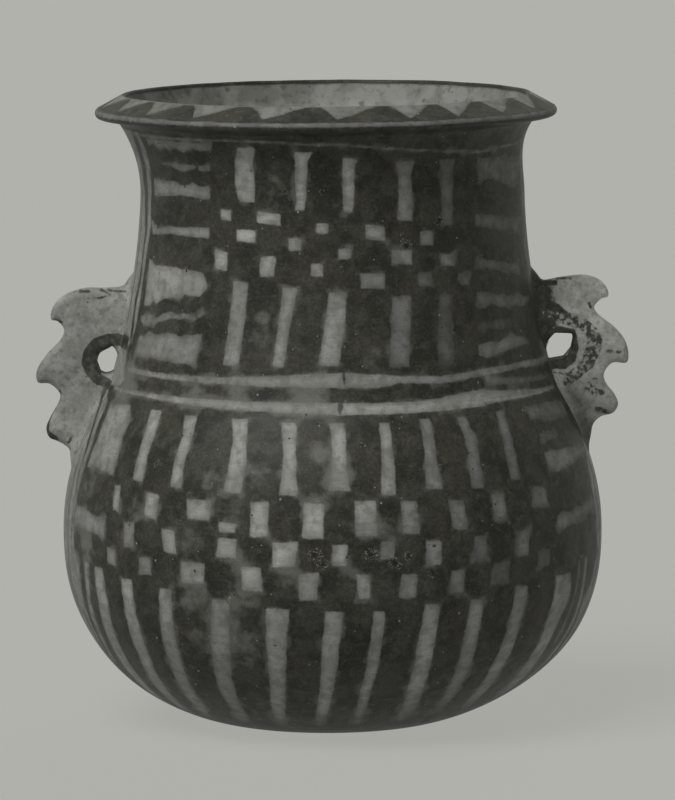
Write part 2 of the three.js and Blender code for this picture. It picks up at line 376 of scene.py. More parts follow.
def easedRange(tree, value, low, high, toLow=0, toHigh=1):
    inputs = {"Value": value, "From Min": low, "From Max": high, "To Min": toLow, "To Max": toHigh}
    return addNode(tree, "ShaderNodeMapRange", inputs, interpolation_type="SMOOTHSTEP").outputs[0]


def storedAs(tree, name, geometry, value, kind="FLOAT", domain="POINT"):
    inputs = {"Geometry": geometry, "Name": name, "Value": value}
    settings = {"data_type": kind, "domain": domain}
    return addNode(tree, "GeometryNodeStoreNamedAttribute", inputs, **settings).outputs[0]


def setPlaces(tree, geometry, socket, *axes):
    vector = addNode(tree, "ShaderNodeCombineXYZ", enumerate(axes)).outputs[0]
    return addNode(tree, "GeometryNodeSetPosition", {"Geometry": geometry, socket: vector}).outputs[0]


def turningTree():
    tree = bpy.data.node_groups.new("turned wall", "GeometryNodeTree")
    sockets = {"Section": "Geometry", "Around": "Int", "Rows": "Int", "Sway": "Float", "Dab": "Float",
               "Lip Wave": "Float", "Seed": "Int", "Clay": "Material"}
    for name, kind in sockets.items():
        tree.interface.new_socket(name, in_out="INPUT", socket_type="NodeSocket" + kind)
    tree.interface.new_socket("Wall", in_out="OUTPUT", socket_type="NodeSocketGeometry")
    given = addNode(tree, "NodeGroupInput").outputs
    sheet = {"Size X": 1, "Size Y": 1, "Vertices X": plus(tree, given["Rows"], 1),
             "Vertices Y": plus(tree, given["Around"], 1)}
    grid = addNode(tree, "GeometryNodeMeshGrid", sheet).outputs["Mesh"]
    here = addNode(tree, "GeometryNodeInputPosition").outputs[0]
    at = addNode(tree, "ShaderNodeSeparateXYZ", {0: here}).outputs
    row = maths(tree, "ROUND", times(tree, plus(tree, at[0], 0.5), given["Rows"]))
    row = maths(tree, "MODULO", row, given["Rows"])
    kept = storedAs(tree, "row", grid, row)
    # the turn is 0 at the front and grows towards the right lug
    kept = storedAs(tree, "turn", kept, times(tree, at[1], -2 * math.pi))
    rowNow, turnNow = (addNode(tree, "GeometryNodeInputNamedAttribute", {"Name": name},
                               data_type="FLOAT").outputs[0] for name in ("row", "turn"))
    drawn = addNode(tree, "GeometryNodeSampleIndex",
                    {"Geometry": given["Section"], "Value": here, "Index": rowNow},
                    data_type="FLOAT_VECTOR", domain="POINT").outputs[0]
    point = addNode(tree, "ShaderNodeSeparateXYZ", {0: drawn}).outputs
    sine, cosine = maths(tree, "SINE", turnNow), maths(tree, "COSINE", turnNow)
    swept = setPlaces(tree, kept, "Position",
                      times(tree, point[0], sine), times(tree, point[0], cosine, -1), point[2])

    # sway: broad swells and smaller dabs, both inwards, calm beside the lugs and at the foot
    calm = easedRange(tree, maths(tree, "ABSOLUTE", at[1]), *[reach * mm for reach in turning["calm"]])
    calm = times(tree, calm, easedRange(tree, at[2], 0, turning["calmFoot"] * mm))

    def swelling(vector, scale, detail):
        inputs = {"Vector": vector, "W": given["Seed"], "Scale": scale, "Detail": detail}
        return addNode(tree, "ShaderNodeTexNoise", inputs, noise_dimensions="4D").outputs[0]

    swells = (times(tree, swelling(here, 1 / (turning[size] * mm), 1), times(tree, given[depth], calm))
              for size, depth in (("swaySize", "Sway"), ("dabSize", "Dab")))
    inwards = times(tree, plus(tree, *swells), -1)
    waveAt = addNode(tree, "ShaderNodeCombineXYZ", {0: sine, 1: cosine}).outputs[0]
    wave = times(tree, swelling(waveAt, turning["lipWaves"], 2), given["Lip Wave"], -1)
    onLip = easedRange(tree, at[2], throatHeight * mm, (throatHeight + turning["lipWaveRise"]) * mm)
    swayed = setPlaces(tree, swept, "Offset", times(tree, inwards, sine),
                       times(tree, inwards, cosine, -1), times(tree, wave, onLip))

    # lean: the foot and the mouth lie off the axis, and the mouth climbs towards the right lug
    foot = easedRange(tree, at[2], 0, turning["footShiftReach"] * mm, turning["footShift"] * mm, 0)
    mouthStart = throatHeight - turning["mouthShiftReach"]
    mouth = easedRange(tree, at[2], mouthStart * mm, throatHeight * mm, 0, turning["mouthShift"] * mm)
    tilt = math.tan(math.radians(turning["tilt"]))
    climb = easedRange(tree, at[2], waistHeight * mm, seams["rim"] * mm, 0, tilt)
    leaned = setPlaces(tree, swayed, "Offset", plus(tree, foot, mouth), 0, times(tree, at[0], climb))

    closed = addNode(tree, "GeometryNodeMergeByDistance",
                     {"Geometry": leaned, "Distance": turning["merged"] * mm}).outputs[0]
    bend = addNode(tree, "GeometryNodeInputMeshEdgeAngle").outputs[0]
    sharp = maths(tree, "GREATER_THAN", bend, math.radians(turning["sharpEdge"]))
    closed = storedAs(tree, "sharp_edge", closed, sharp, "BOOLEAN", "EDGE")
    whole = addNode(tree, "GeometryNodeRealizeInstances", {"Geometry": closed}).outputs[0]
    clad = addNode(tree, "GeometryNodeSetMaterial", {"Geometry": whole, "Material": given["Clay"]})
    addNode(tree, "NodeGroupOutput", {"Wall": clad.outputs[0]})
    return tree


def asMesh(piece):
    # the evaluated shape as a plain mesh, with no modifier left on the piece
    graph = bpy.context.evaluated_depsgraph_get()
    shape = bpy.data.meshes.new_from_object(piece.evaluated_get(graph))
    piece.modifiers.clear()
    piece.data = shape
    piece.data.name = piece.name
    return shape


def turnedWall(name, section, clay, lipWave):
    line = bpy.data.meshes.new(name)
    line.from_pydata([(radius * mm, 0, height * mm) for radius, height in section], [], [])
    piece = addObject(name, line)
    modifier = piece.modifiers.new("turned", "NODES")
    modifier.node_group = wallTree
    chosen = {"Around": mesh["around"], "Rows": len(section), "Sway": turning["sway"] * mm,
              "Dab": turning["dab"] * mm, "Lip Wave": lipWave * mm, "Seed": turning["seed"], "Clay": clay}
    for socket in wallTree.interface.items_tree:
        if socket.name in chosen:
            modifier[socket.identifier] = chosen[socket.name]
    asMesh(piece).shade_smooth()
    return piece


def readAttribute(shape, name):
    values = np.zeros(len(shape.vertices), np.float32)
    shape.attributes[name].data.foreach_get("value", values)
    return values


def writeAttribute(shape, name, values):
    attribute = shape.attributes.new(name, "FLOAT", "POINT")
    attribute.data.foreach_set("value", np.asarray(values, np.float32))


def vertexPlaces(shape):
    places = np.zeros(len(shape.vertices) * 3, np.float32)
    shape.vertices.foreach_get("co", places)
    return places.reshape(-1, 3) / mm


# Painted marks. Each place is degrees round from the front and mm along the wall from the resting
# disc's edge; widths and heights are in mm. A stroke is a row of places with the width of the brush.
# A patch is a closed outline with the strength of its slip. The back repeats the front, mirrored
# from lug to lug and a little shaken.

neckPaint = {
    "strokes": [
        [(-23, 316, 8.7), (-25, 309, 8.8), (-26, 300, 9.6), (-26, 291, 7.4)],
        [(-6.5, 314, 7.9), (-7.5, 310, 5.3), (-8.5, 301, 5.1), (-9.5, 288, 4)],
        [(7, 311, 7), (6, 308, 5.3), (5, 297, 5), (4.5, 287, 3.9)],
        [(23, 309, 9.1), (22.5, 303, 5.9), (22, 294, 6.4), (21.5, 283, 7.1)],
        [(37.3, 309, 8.4), (36.6, 300, 6.6), (36, 291, 6), (36, 280, 4.9)],
        [(-27, 256, 7.2), (-27.3, 239, 7.9), (-28, 219, 7.7)],
        [(-12, 254, 6.5), (-13.5, 236, 5.4), (-14.5, 219, 5)],
        [(1.5, 252, 7.7), (0.5, 236, 8.7), (-1, 220, 9)],
        [(20, 250, 8.9), (19, 235, 8.8), (18, 219, 8.5)],
        [(34, 250, 7), (32.5, 234, 6.8), (31.5, 219, 7.4)],
        [(79, 247, 0.9), (81.5, 239, 1.1), (83.5, 232, 1.1), (80, 226, 0.9), (78, 221, 0.9)],
    ],
    "checks": [
        (-33, 285, 5.5, 4.4), (-19, 284, 10.9, 5), (-3, 280, 5.3, 4.4), (-26, 276, 9.3, 5.3),
        (-11, 273, 5.6, 5.7), (3.5, 269, 5.9, 4.8), (-34, 265, 6.7, 8.3), (-19, 263, 6.8, 8.7),
        (-4.5, 262, 5.3, 5.3), (12.5, 278, 8.7, 6.1), (28.5, 275, 6.3, 6.1), (20.5, 267, 9.4, 6.1),
        (35.5, 265, 7, 5), (11.5, 257, 10.9, 6.3), (27.5, 257, 6.5, 6.1), (41, 256, 5.6, 5.3),
    ],
    "patches": [
        (0.96, [(-62.6, 317.6), (-33.6, 317.4), (-35.5, 313.9), (-38.9, 313.1), (-41.9, 314.8),
         (-45.9, 312.1), (-48.6, 314.2), (-51.4, 313), (-53.8, 314.2), (-56.9, 312.9), (-59.8, 315),
         (-63.1, 313.7)]),
        (0.9, [(-59.2, 306.2), (-53.5, 306.8), (-50.9, 307.5), (-48.9, 306.3), (-42.5, 306.4),
         (-42.7, 305.5), (-45, 304.4), (-48.3, 303.2), (-51.9, 303.8), (-54.1, 304.9)]),
        (0.92, [(-41.4, 306), (-37, 307.3), (-37.4, 304.6), (-39.5, 303.7), (-41.8, 304)]),
        (1.04, [(-66.5, 298.3), (-61.6, 297.9), (-52.1, 298), (-50.9, 296.3), (-47.2, 297.1),
         (-44.9, 298.2), (-42.2, 296.6), (-38.6, 297.3), (-38.7, 291.6), (-42.6, 291.3), (-49, 292.1),
         (-55.4, 291.4), (-67, 290.2)]),
        (1, [(-68.9, 279.7), (-63.9, 275.9), (-57.7, 277.5), (-38.9, 278.8), (-38.7, 274),
         (-55.9, 274.6), (-61.7, 273.9), (-67.2, 272.8)]),
        (1.04, [(-67.9, 262.4), (-62.9, 259.5), (-53.4, 260.2), (-45.2, 259.3), (-40.1, 258.9),
         (-38.1, 252.5), (-40.8, 248.2), (-46.7, 248.5), (-48.2, 246.6), (-52.7, 246.5), (-56, 245.6),
         (-59.3, 243), (-61.9, 244), (-63.9, 241.4), (-67.5, 241.4)]),
        (0.92, [(-68.2, 235.9), (-61.9, 238.1), (-58.1, 236.9), (-54.9, 239.1), (-51.8, 240.4),
         (-48.2, 239.5), (-46.2, 240.6), (-41.3, 238.9), (-38.7, 242.2), (-38.3, 241), (-41.2, 237.6),
         (-45.1, 238), (-51.3, 237.3), (-56.8, 235.2), (-59.4, 232.2), (-61.8, 232.7), (-67.4, 233.3)]),
        (1, [(-66.4, 227.5), (-63.6, 227.5), (-61.3, 230.6), (-57.1, 228.9), (-53.4, 230.3),
         (-49.9, 230.8), (-46.1, 229.9), (-43.5, 231.1), (-38.4, 231.6), (-39.3, 217.8), (-57.5, 218.9),
         (-66.9, 218.4)]),
        (0.6, [(49.7, 308), (60.7, 307.9), (79.2, 304.9), (74.4, 295.6), (66.6, 294.7), (54.7, 299.5),
         (49.1, 297.4)]),
        (0.7, [(47.1, 284.3), (59.1, 282.2), (74.7, 278.6), (73.4, 271.6), (55.9, 277.2), (46.9, 279)]),
        (0.7, [(46.9, 264.9), (57.2, 262), (70.4, 259), (69.6, 255.5), (56.7, 258.5), (46.6, 260.9)]),
        (0.75, [(45.5, 249.5), (55.2, 247.5), (76, 243.8), (69.6, 240.6), (62.7, 242.1), (54.3, 242.3),
         (50.9, 244.5), (48, 242.6), (44.8, 243)]),
        (0.7, [(44.6, 235), (47.1, 235.6), (53.5, 237), (55.8, 235.8), (58.6, 236.8), (58.9, 233.2),
         (52.8, 232.6), (49.4, 233.5), (44.3, 232.3)]),
        (0.78, [(43.2, 226.2), (47.6, 227.5), (51.8, 226.9), (58.3, 230.1), (60.1, 228.5), (65.4, 227.2),
         (68, 224.1), (58.4, 223.3), (51, 222.1), (46.6, 220.5), (42.9, 221.4)]),
        (1, [(-96, 322), (-66, 322), (-67.3, 306), (-68.9, 297), (-70, 288), (-69.2, 275), (-70.7, 263),
         (-71.1, 252), (-71, 243), (-70.6, 234), (-71, 226), (-74.4, 221), (-72.6, 213), (-70, 207),
         (-73, 203.6), (-96, 200)]),
        (0.82, [(96, 320), (79, 318), (78, 300), (77.5, 280), (77.5, 260), (79, 252), (96, 250)]),
    ],
    "dark strokes": [
        [(-69, 322, 2.4), (-71.6, 315, 5.5), (-73.5, 305, 6.4), (-75, 296, 6.8), (-74.6, 287, 5.2),
         (-73, 274, 2.8), (-74.1, 265, 2.2), (-73.8, 252, 2), (-74.8, 242, 3.4), (-73.6, 233, 3),
         (-71.8, 222, 4)],
        [(-78.5, 226, 14), (-78.5, 219.6, 14)],
        [(-80, 300, 0.7), (-80.5, 262, 0.8), (-81, 232, 0.9)],
    ],
}

bodyPaint = {
    "strokes": [
        [(-49, 196, 7.2), (-48, 187, 7.1), (-48, 177, 6.5), (-47.5, 163, 6.6)],
        [(-37, 195, 7.1), (-36, 184, 5.6), (-36.5, 173, 5.7), (-36, 162, 5.9)],
        [(-23, 195, 7.8), (-22, 185, 6.1), (-21.5, 176, 8), (-22, 161, 8.5)],
        [(-10.5, 194, 6.9), (-10, 184, 5.7), (-9.5, 175, 5.7), (-9.5, 161, 7.9)],
        [(1, 194, 6.1), (1.5, 186, 6.1), (1.5, 175, 6.1), (1.5, 163, 9.6)],
        [(12.5, 194, 4.9), (12.5, 186, 4.9), (12.5, 174, 5.5), (12, 161, 6.7)],
        [(23, 195, 4.7), (23, 185, 5.2), (22.5, 174, 5.9), (22.5, 163, 7.5)],
        [(33, 195, 4.7), (34, 184, 5.8), (33.5, 175, 5.8), (33, 162, 6.5)],
        [(45.5, 196, 4.3), (45, 187, 4.9), (44.5, 178, 6.1), (44, 164, 6.1)],
        [(-65, 123, 4.6), (-66.5, 108, 4.4), (-68, 96, 5), (-69.5, 84, 5), (-72, 70, 4)],
        [(-59.3, 122, 7.4), (-59.5, 107, 8.9), (-62, 86, 9.6), (-64, 66, 10.4), (-69, 35, 5)],
        [(-49, 119, 7.4), (-49.5, 100, 8.1), (-51, 78, 8.1), (-54.5, 53, 8.4), (-60, 28, 5)],
        [(-37.5, 117, 6.8), (-39, 97, 7.7), (-40.5, 75, 7.7), (-43, 47, 7.5), (-51.5, 26, 5.1)],
        [(-24, 114, 8.2), (-25.5, 95, 9), (-27.5, 71, 8.2), (-28.5, 47, 6.5), (-32, 27, 5.7)],
        [(-11.5, 111, 10.7), (-12.5, 91, 8.5), (-13.5, 67, 6.8), (-16.5, 27, 4.9)],
        [(0.5, 110, 7.8), (-0.5, 91, 7.4), (-1, 67, 6.1), (-2.5, 27, 3.6)],
        [(10, 110, 5.3), (9.5, 92, 5.3), (9, 67, 4.5), (10.5, 27, 3.7)],
        [(21.5, 112, 7.1), (21, 93, 8.1), (22, 69, 7.8), (26, 38, 6.6), (29, 27, 5)],
        [(32, 113, 6.3), (32, 94, 7.5), (33.5, 70, 6.9), (37, 41, 4.8), (41, 27, 4)],
        [(44, 117, 7.6), (43.5, 99, 7.7), (44, 77, 8.3), (47, 53, 7.7), (54, 28, 5)],
        [(58.3, 119, 13), (59, 112, 16), (58.9, 106, 15.5), (58, 98, 12), (58, 90, 10), (58.5, 80, 10.5),
         (59.5, 70, 11), (62, 57, 11), (66, 35, 9)],
        [(69.5, 124, 3.4), (69.6, 112, 4.2), (70.2, 103, 4), (70, 88, 4.6), (70, 70, 4.2),
         (71.5, 48, 3)],
        [(65.5, 124, 1.6), (65.6, 110, 2.2), (65.1, 103, 2.4), (64.8, 93, 2.6), (64.6, 84, 2.4)],
        [(88.4, 183, 1.3), (82.2, 179, 1.3)],
    ],
    "checks": [
        (-53.5, 154, 4.4, 10.9), (-42, 153, 7.4, 10.9), (-29.5, 153, 12.1, 8.7), (-22.5, 146, 8, 3.9),
        (-15.5, 150, 8.2, 15.2), (-4, 150, 9.1, 15.2), (7, 151, 9.6, 15.2), (16.5, 151, 7.3, 14.4),
        (27.5, 151, 7.4, 12.6), (38, 153, 6.8, 11.3), (50.5, 155, 10.5, 8.7), (-48, 139, 6.7, 11),
        (-36.5, 138, 7.2, 10.1), (-22.5, 137, 9, 8.3), (-10, 135, 10.6, 10.9), (1.5, 135, 6.5, 9.2),
        (11.5, 137, 5.8, 7.4), (21.5, 135, 7.1, 10.5), (32.5, 136, 6.8, 10.1), (44, 136, 6.9, 11),
        (-54, 128, 6.3, 7.2), (-43, 126, 7.4, 7.6), (-30.5, 125, 11.9, 9.3), (-17, 124, 9.2, 10.6),
        (-5, 121, 8.3, 12), (6.5, 121, 5.3, 10.7), (16, 121, 7.7, 10.7), (27, 122, 6.5, 9.8),
        (38, 124, 8, 8.1), (50.5, 128, 8.4, 7.6),
    ],
    "patches": [
        (0.92, [(-72.6, 194.6), (-60.6, 196.5), (-57.4, 189.7), (-57.7, 180), (-56.7, 173),
         (-56.8, 163.9), (-60.5, 164.5), (-64.3, 165.5), (-70.7, 164.4), (-70.5, 172.5), (-70, 177.3),
         (-70.5, 182.1), (-71.7, 191.7)]),
        (1, [(-72.8, 146.6), (-66.8, 146.7), (-63.9, 145.6), (-60.8, 144.1), (-56.5, 144.6),
         (-56.7, 135.3), (-61.7, 137.2), (-65.7, 136.7), (-69.4, 137.6), (-72.9, 136.7)]),
        (0.86, [(55.9, 195.9), (60.6, 196.5), (68.5, 196.5), (80.6, 194.3), (78.2, 189.2), (70.4, 188.5),
         (65.1, 188.6), (59.7, 189.7), (56, 190)]),
        (0.7, [(56.9, 183), (58.9, 183.6), (62.4, 182.4), (65.4, 183.7), (65.8, 181.2), (63.9, 179.7),
         (59.7, 179.6), (57.8, 178.1), (56.3, 178.8)]),
        (0.84, [(56.1, 174.2), (59.9, 174.8), (62.9, 173.7), (66, 174.4), (72.4, 173.4), (80.1, 172.1),
         (82.3, 169.7), (74.6, 168.7), (68.8, 166.8), (61.7, 165.6), (58.7, 164.9), (56.3, 165.4)]),
        (0.88, [(55.8, 145.7), (57.9, 147), (61.9, 146.5), (66.2, 147.8), (69.2, 147.5), (72.4, 148.9),
         (74.7, 150.6), (76.7, 147.9), (76.7, 144.3), (72, 143.2), (67.2, 142.1), (65.3, 140.4),
         (60.4, 140.2), (57.3, 139.1), (55.4, 140)]),
        (1.02, [(-96, 200), (-81.6, 199.8), (-77, 195.6), (-74.7, 191), (-74.3, 186), (-73.4, 181.4),
         (-72.4, 176.8), (-72.2, 172), (-72.6, 162.6), (-72.5, 158), (-73, 148), (-73, 136), (-72.5, 127),
         (-69.5, 124), (-69.7, 112), (-71, 103), (-71.5, 95), (-72.5, 85), (-74, 70), (-76, 50),
         (-78, 30), (-96, 30)]),
        (1.3, [(96, 184), (86, 178), (83.6, 174), (79.8, 168), (78.5, 163.5), (77.7, 159), (76.9, 154.7),
         (76.5, 150), (77, 145.5), (77, 141), (77.4, 134), (78, 129.5), (79, 125), (77.4, 120.6),
         (76.3, 116), (75.8, 112), (73.8, 107.8), (72.5, 103.5), (72.7, 98.6), (73, 85), (75, 65),
         (78, 30), (96, 30)]),
    ],
    "dark strokes": [
        [(-87, 197, 4), (-82.5, 193.5, 4), (-79.5, 188, 3.6), (-77.5, 183, 3), (-76.2, 178, 2.8),
         (-75, 172, 2.2), (-74.9, 165, 1.3)],
        [(-75.4, 164, 0.9), (-74.5, 153, 0.9), (-74.1, 144, 1), (-74.6, 131, 1.1)],
        [(-79, 166, 0.5), (-78, 148, 0.7), (-78.5, 125, 0.8), (-78, 100, 0.9)],
        [(-74.5, 98, 1.4), (-74.3, 84, 1.8), (-76, 66, 1.8), (-78, 44, 1.5)],
        [(82, 170, 0.8), (80.5, 150, 0.9), (81, 128, 1), (78.5, 108, 1.2), (77, 88, 1.4), (78, 62, 1.5)],
    ],
}

ringPaint = [  # light lines that run round the jar: their top and bottom edges
    {"top": [(-80, 320), (-45, 319.4), (-24, 320), (-7, 318.6), (7, 317.7), (21, 315.2), (34, 313.5),
             (50, 311.8), (80, 314)],
     "low": [(-80, 318), (-45, 318.2), (-24, 318.8), (-7, 317.4), (7, 316.5), (21, 314), (34, 312.3),
             (50, 310.6), (80, 313)],
     "tone": 0.6},
    {"top": [(-70, 213), (-44, 212.8), (-30, 213.3), (-8, 216), (2, 217), (18, 215), (29, 214),
             (42, 215.6), (60, 216.8), (84, 216)],
     "low": [(-70, 211), (-43, 210.5), (2, 210.2), (12, 210.1), (18, 212), (29, 210.8), (42, 212.6),
             (58, 214), (84, 213.6)],
     "tone": 0.88},
    {"top": [(-76, 202.5), (-59, 203.3), (2, 203.5), (22, 203.3), (30, 205), (42, 207), (47, 205.6),
             (56.6, 204.6), (67.6, 203.2), (80, 202.8)],
     "low": [(-76, 201.4), (-58, 201.6), (-42, 200.3), (-29, 199.4), (-18, 198.9), (0, 198),
             (17, 198), (27, 198.6), (40, 199.1), (47, 200.5), (66, 201), (80, 201.3)],
     "tone": 1},
    {"top": [(44, 212), (53.2, 210.6), (63.1, 209), (78, 208.2)],
     "low": [(44, 209), (57.3, 207.7), (73.7, 207.1), (78, 207.4)],
     "tone": 0.75},
]

gaps = [  # dark strokes that break the rings
    [(2.2, 205, 1), (2, 201.5, 2.2), (1.5, 197, 1.2)],
    [(3, 217.4, 0.6), (3, 213.8, 1.7), (3.3, 210.6, 0.5)],
    [(-38, 214, 0.6), (-38.4, 209, 0.9)],
]

wornPatches = [  # degrees round, mm along, mm across, how worn
    (-22, 95, 17, 0.9), (-30, 94, 12, 0.7), (-19, 115, 11, 0.8), (-31, 113, 12, 0.8),
    (-17, 299, 9, 0.7), (-20, 233, 8, 0.7), (-16.5, 170, 9, 0.7), (-22, 156, 9, 0.6),
    (-3, 180, 9, 0.9), (10, 225, 9, 0.6), (-66, 157, 12, 0.6), (-65, 131, 9, 1.1),
    (-25, 207, 9, 0.9), (-6, 206, 11, 1.1), (-48, 207, 7, 0.6), (20, 207, 6, 0.3), (45, 209, 8, 0.6),
    (-68, 207, 13, 1.2), (-38, 205, 9, 0.9), (1, 170, 9, 1.1), (-27, 166, 7, 0.8), (-4, 158, 8, 0.8),
    (10, 147, 8, 0.8), (-20, 131, 8, 0.9), (-31, 139, 9, 0.8), (-9, 128, 8, 0.9), (4, 127, 7, 0.6),
    (-46, 150, 10, 0.6), (-58, 112, 9, 0.5), (-20, 240, 7, 0.7), (-9, 246, 8, 0.5), (40, 148, 8, 0.4),
    (-45, 52, 26, 0.5), (-19, 40, 24, 0.45), (6, 42, 24, 0.4), (30, 52, 25, 0.45), (54, 66, 22, 0.4),
    (-14, 303, 12, 0.5), (38, 120, 15, 0.3), (8, 118, 13, 0.3),
]

painting = {
    "nowhere": -9.0,       # mm inside a mark that stand for a place far from every mark
    "dark": -4.0,          # the same for a place that is surely dark
    "jitterTurn": 0.9,     # degrees that a mark moves on the back
    "jitterAlong": 1.2,
    "toneSpread": 0.09,
    "tilt": 0.045,         # how far a check leans and tapers
    "paintedLight": 0.16,         # painted light: how much stronger the marks are on the lit side, left of the middle
    "paintedLightTurn": -15,
    "paintedLightReach": 13,
    # painted light and shade by mm along the wall: weaker marks on the lower neck, stronger ones on the
    # upper neck under the rim
    "heights": [(20, 1), (110, 0.97), (165, 1), (210, 0.85), (222, 0.8), (254, 0.82), (264, 1.02),
                (300, 1.25)],
    "panels": (0.81, 0.69),    # painted shade: how much weaker the marks are towards the right lug, above the belly, away from the lamp
    "paintedShadeRight": 0.5,          # how much weaker it is towards the right lug, above the belly
    "paintedShadeTurns": (-4, 48),
    "paintedShadeAbove": (95, 122),
    "reach": 6,            # mm round a mark that it is measured for
    "skin": 0.5,           # mm that a painted point may lie under the outer line
    "bare": -3.0,          # mm inside a mark for the unpainted inside
    "seed": 11,
}


def turnBetween(turn, middle):
    return (turn - middle + 180) % 360 - 180


def mirrored(turn):
    # the back's places as those of the front that they repeat, from lug to lug
    return np.where(np.abs(turn) > 90, np.sign(turn) * 180 - turn, turn)


def outerRadius(height):
    return np.interp(height, outer[:, 1], outer[:, 0])


def runGap(start, end, across, up):
    # how far along a straight run each place lies, and how far from it
    run = np.subtract(end, start)
    share = np.clip(((across - start[0]) * run[0] + (up - start[1]) * run[1]) / (run @ run), 0, 1)
    return share, np.hypot(across - start[0] - share * run[0], up - start[1] - share * run[1])


def insideLine(line, across, up):
    # mm inside a closed line, negative outside it, at each place of a flat sheet
    nearest = np.full(across.shape, np.inf)
    crossings = np.zeros(across.shape, int)
    for start, end in zip(line, np.roll(line, -1, axis=0)):
        if math.dist(start, end) < mesh["tiny"]:
            continue
        nearest = np.minimum(nearest, runGap(start, end, across, up)[1])
        rise = end[1] - start[1]
        if rise:
            level = (up >= min(start[1], end[1])) & (up < max(start[1], end[1]))
            crossings += level & (across < start[0] + (end[0] - start[0]) * (up - start[1]) / rise)
    return np.where(crossings % 2 == 1, nearest, -nearest)


def strokeDepth(turn, at, radius, stroke):
    strokeTurn, strokeAlong, width = np.array(sorted(stroke, key=lambda place: place[1])).T
    centre = np.interp(at, strokeAlong, strokeTurn)
    half = np.interp(at, strokeAlong, width) / 2
    across = np.radians(turn - centre) * radius
    ends = np.minimum(at - strokeAlong[0], strokeAlong[-1] - at)
    return np.minimum(half - np.abs(across), ends)


def checkDepth(turn, at, radius, check, luck):
    middle, level, width, height = check
    rise = at - level
    across = np.radians(turn - middle) * radius
    across = across + rise * luck.gauss(0, painting["tilt"])
    rise = rise + across * luck.gauss(0, painting["tilt"])
    half = width / 2 * (1 + rise / height * 2 * luck.gauss(0, painting["tilt"]))
    return np.minimum(half - np.abs(across), height / 2 - np.abs(rise))


def patchDepth(turn, at, radius, patch):
    line = np.array(patch)
    middle = line[:, 0].mean()
    lineRadius = np.interp(line[:, 1], along, outer[:, 0])
    flat = np.c_[np.radians(line[:, 0] - middle) * lineRadius, line[:, 1]]
    near = np.full(len(turn), True)
    for values, edge in ((turn, line[:, 0]), (at, line[:, 1])):
        near &= (values > edge.min() - painting["reach"]) & (values < edge.max() + painting["reach"])
    depth = np.full(len(turn), painting["nowhere"])
    depth[near] = insideLine(flat, np.radians(turn[near] - middle) * radius[near], at[near])
    return depth


def ringDepth(turn, at, radius, ring):
    topTurn, top = np.array(ring["top"]).T
    lowTurn, low = np.array(ring["low"]).T
    inside = np.minimum(np.interp(turn, topTurn, top) - at, at - np.interp(turn, lowTurn, low))
    ends = np.minimum(turn - topTurn[0], topTurn[-1] - turn)
    return np.minimum(inside, np.radians(ends) * radius)


def shaken(places, luck):
    # the same mark a little moved, as the painter repeated it on the back
    aside, up = luck.gauss(0, painting["jitterTurn"]), luck.gauss(0, painting["jitterAlong"])
    return [(turn + aside, level + up, *rest) for turn, level, *rest in places]


def strengthAt(turn, level):
    # painted light and shade: a mark's strength, raised left of the middle, lowered towards the right lug
    # above the belly, and varied by height
    away = (turn - painting["paintedLightTurn"]) / painting["paintedLightReach"]
    paintedLight = painting["paintedLight"] * math.exp(-away ** 2)
    paintedShadeRight = eased(turn, *painting["paintedShadeTurns"]) * eased(level, *painting["paintedShadeAbove"])
    height = np.interp(level, *np.array(painting["heights"]).T)
    return height * (1 + paintedLight - painting["paintedShadeRight"] * float(paintedShadeRight))


def paintWall(turn, at, radius):
    # mm inside the nearest light mark, and the tone of that mark, at each point of the outer wall
    luck = random.Random(painting["seed"])
    depth = np.full(len(turn), painting["nowhere"])
    tone = np.ones(len(turn))
    behind = np.abs(turn) > 90
    places = (mirrored(turn), at, radius)

    def lay(newDepth, side, newTone):
        better = side & (newDepth > depth)
        depth[better] = newDepth[better]
        tone[better] = newTone + luck.gauss(0, painting["toneSpread"])

    for side, isBack in ((~behind, False), (behind, True)):
        for marks in (neckPaint, bodyPaint):
            for stroke in marks["strokes"]:
                stroke = shaken(stroke, luck) if isBack else stroke
                middle = stroke[len(stroke) // 2]
                lay(strokeDepth(*places, stroke), side, strengthAt(*middle[:2]))
            for check in marks["checks"]:
                check = shaken([check], luck)[0] if isBack else check
                lay(checkDepth(*places, check, luck), side, strengthAt(*check[:2]))
            for strength, patch in marks["patches"]:
                isRight = patch[0][0] > 0
                lay(patchDepth(*places, patch), side, strength * painting["panels"][int(isRight)])
            for stroke in marks["dark strokes"]:
                cut = strokeDepth(*places, stroke)
                depth[side] = np.minimum(depth[side], -cut[side])
    for ring in ringPaint:
        lay(ringDepth(*places, ring), at > 0, ring["tone"])
    for stroke in gaps:
        cut = strokeDepth(*places, stroke)
        depth = np.where(behind, depth, np.minimum(depth, -cut))
    return depth, tone


def wornAt(turn, at, radius):
    wearAndShade = np.zeros(len(turn))
    for middle, level, size, strength in wornPatches:
        for facing in (0, 180):
            across = np.radians(turnBetween(turn, middle + facing)) * radius
            wearAndShade = np.maximum(wearAndShade, strength * np.exp(-(across ** 2 + (at - level) ** 2) / size ** 2))
    return wearAndShade


# The rim's bevel: dark hills that stand on the lip, steeper on their right, with light clay between

rimPaint = {
    "valleys": [-67.4, -52.1, -35.4, -16, 2.8, 21.8, 35.4, 51.3],     # degrees from the front
    "valleysBehind": 13,
    "jitter": 1.3,
    "hill": [(0, 3), (0.2, 5.6), (0.42, 9.8), (0.58, 11.7), (0.77, 11.9), (0.87, 9), (0.95, 5), (1, 3)],
    "hillSharpness": 3,
    "tones": (0.72, 0.7),      # how light the clay is on the lip and above it
    "wearAndShade": (0.3, -62, -15),   # how worn the hills are, and the degrees between which that fades
    "shade": 0.7,              # painted shade under the lip: how much of the wear's wash and haze is taken away there, so the slip shows darker
    "lipLight": 0.95,          # mm round the lip's outermost line where the slip is rubbed away
    "lipLine": 0.9,            # mm that this line lies above the lip's middle
    "farLine": 1.6,            # mm of dark slip that runs over the ridge behind
    "farTurn": 75,             # degrees from the front where that line starts
    "seed": 3,
}


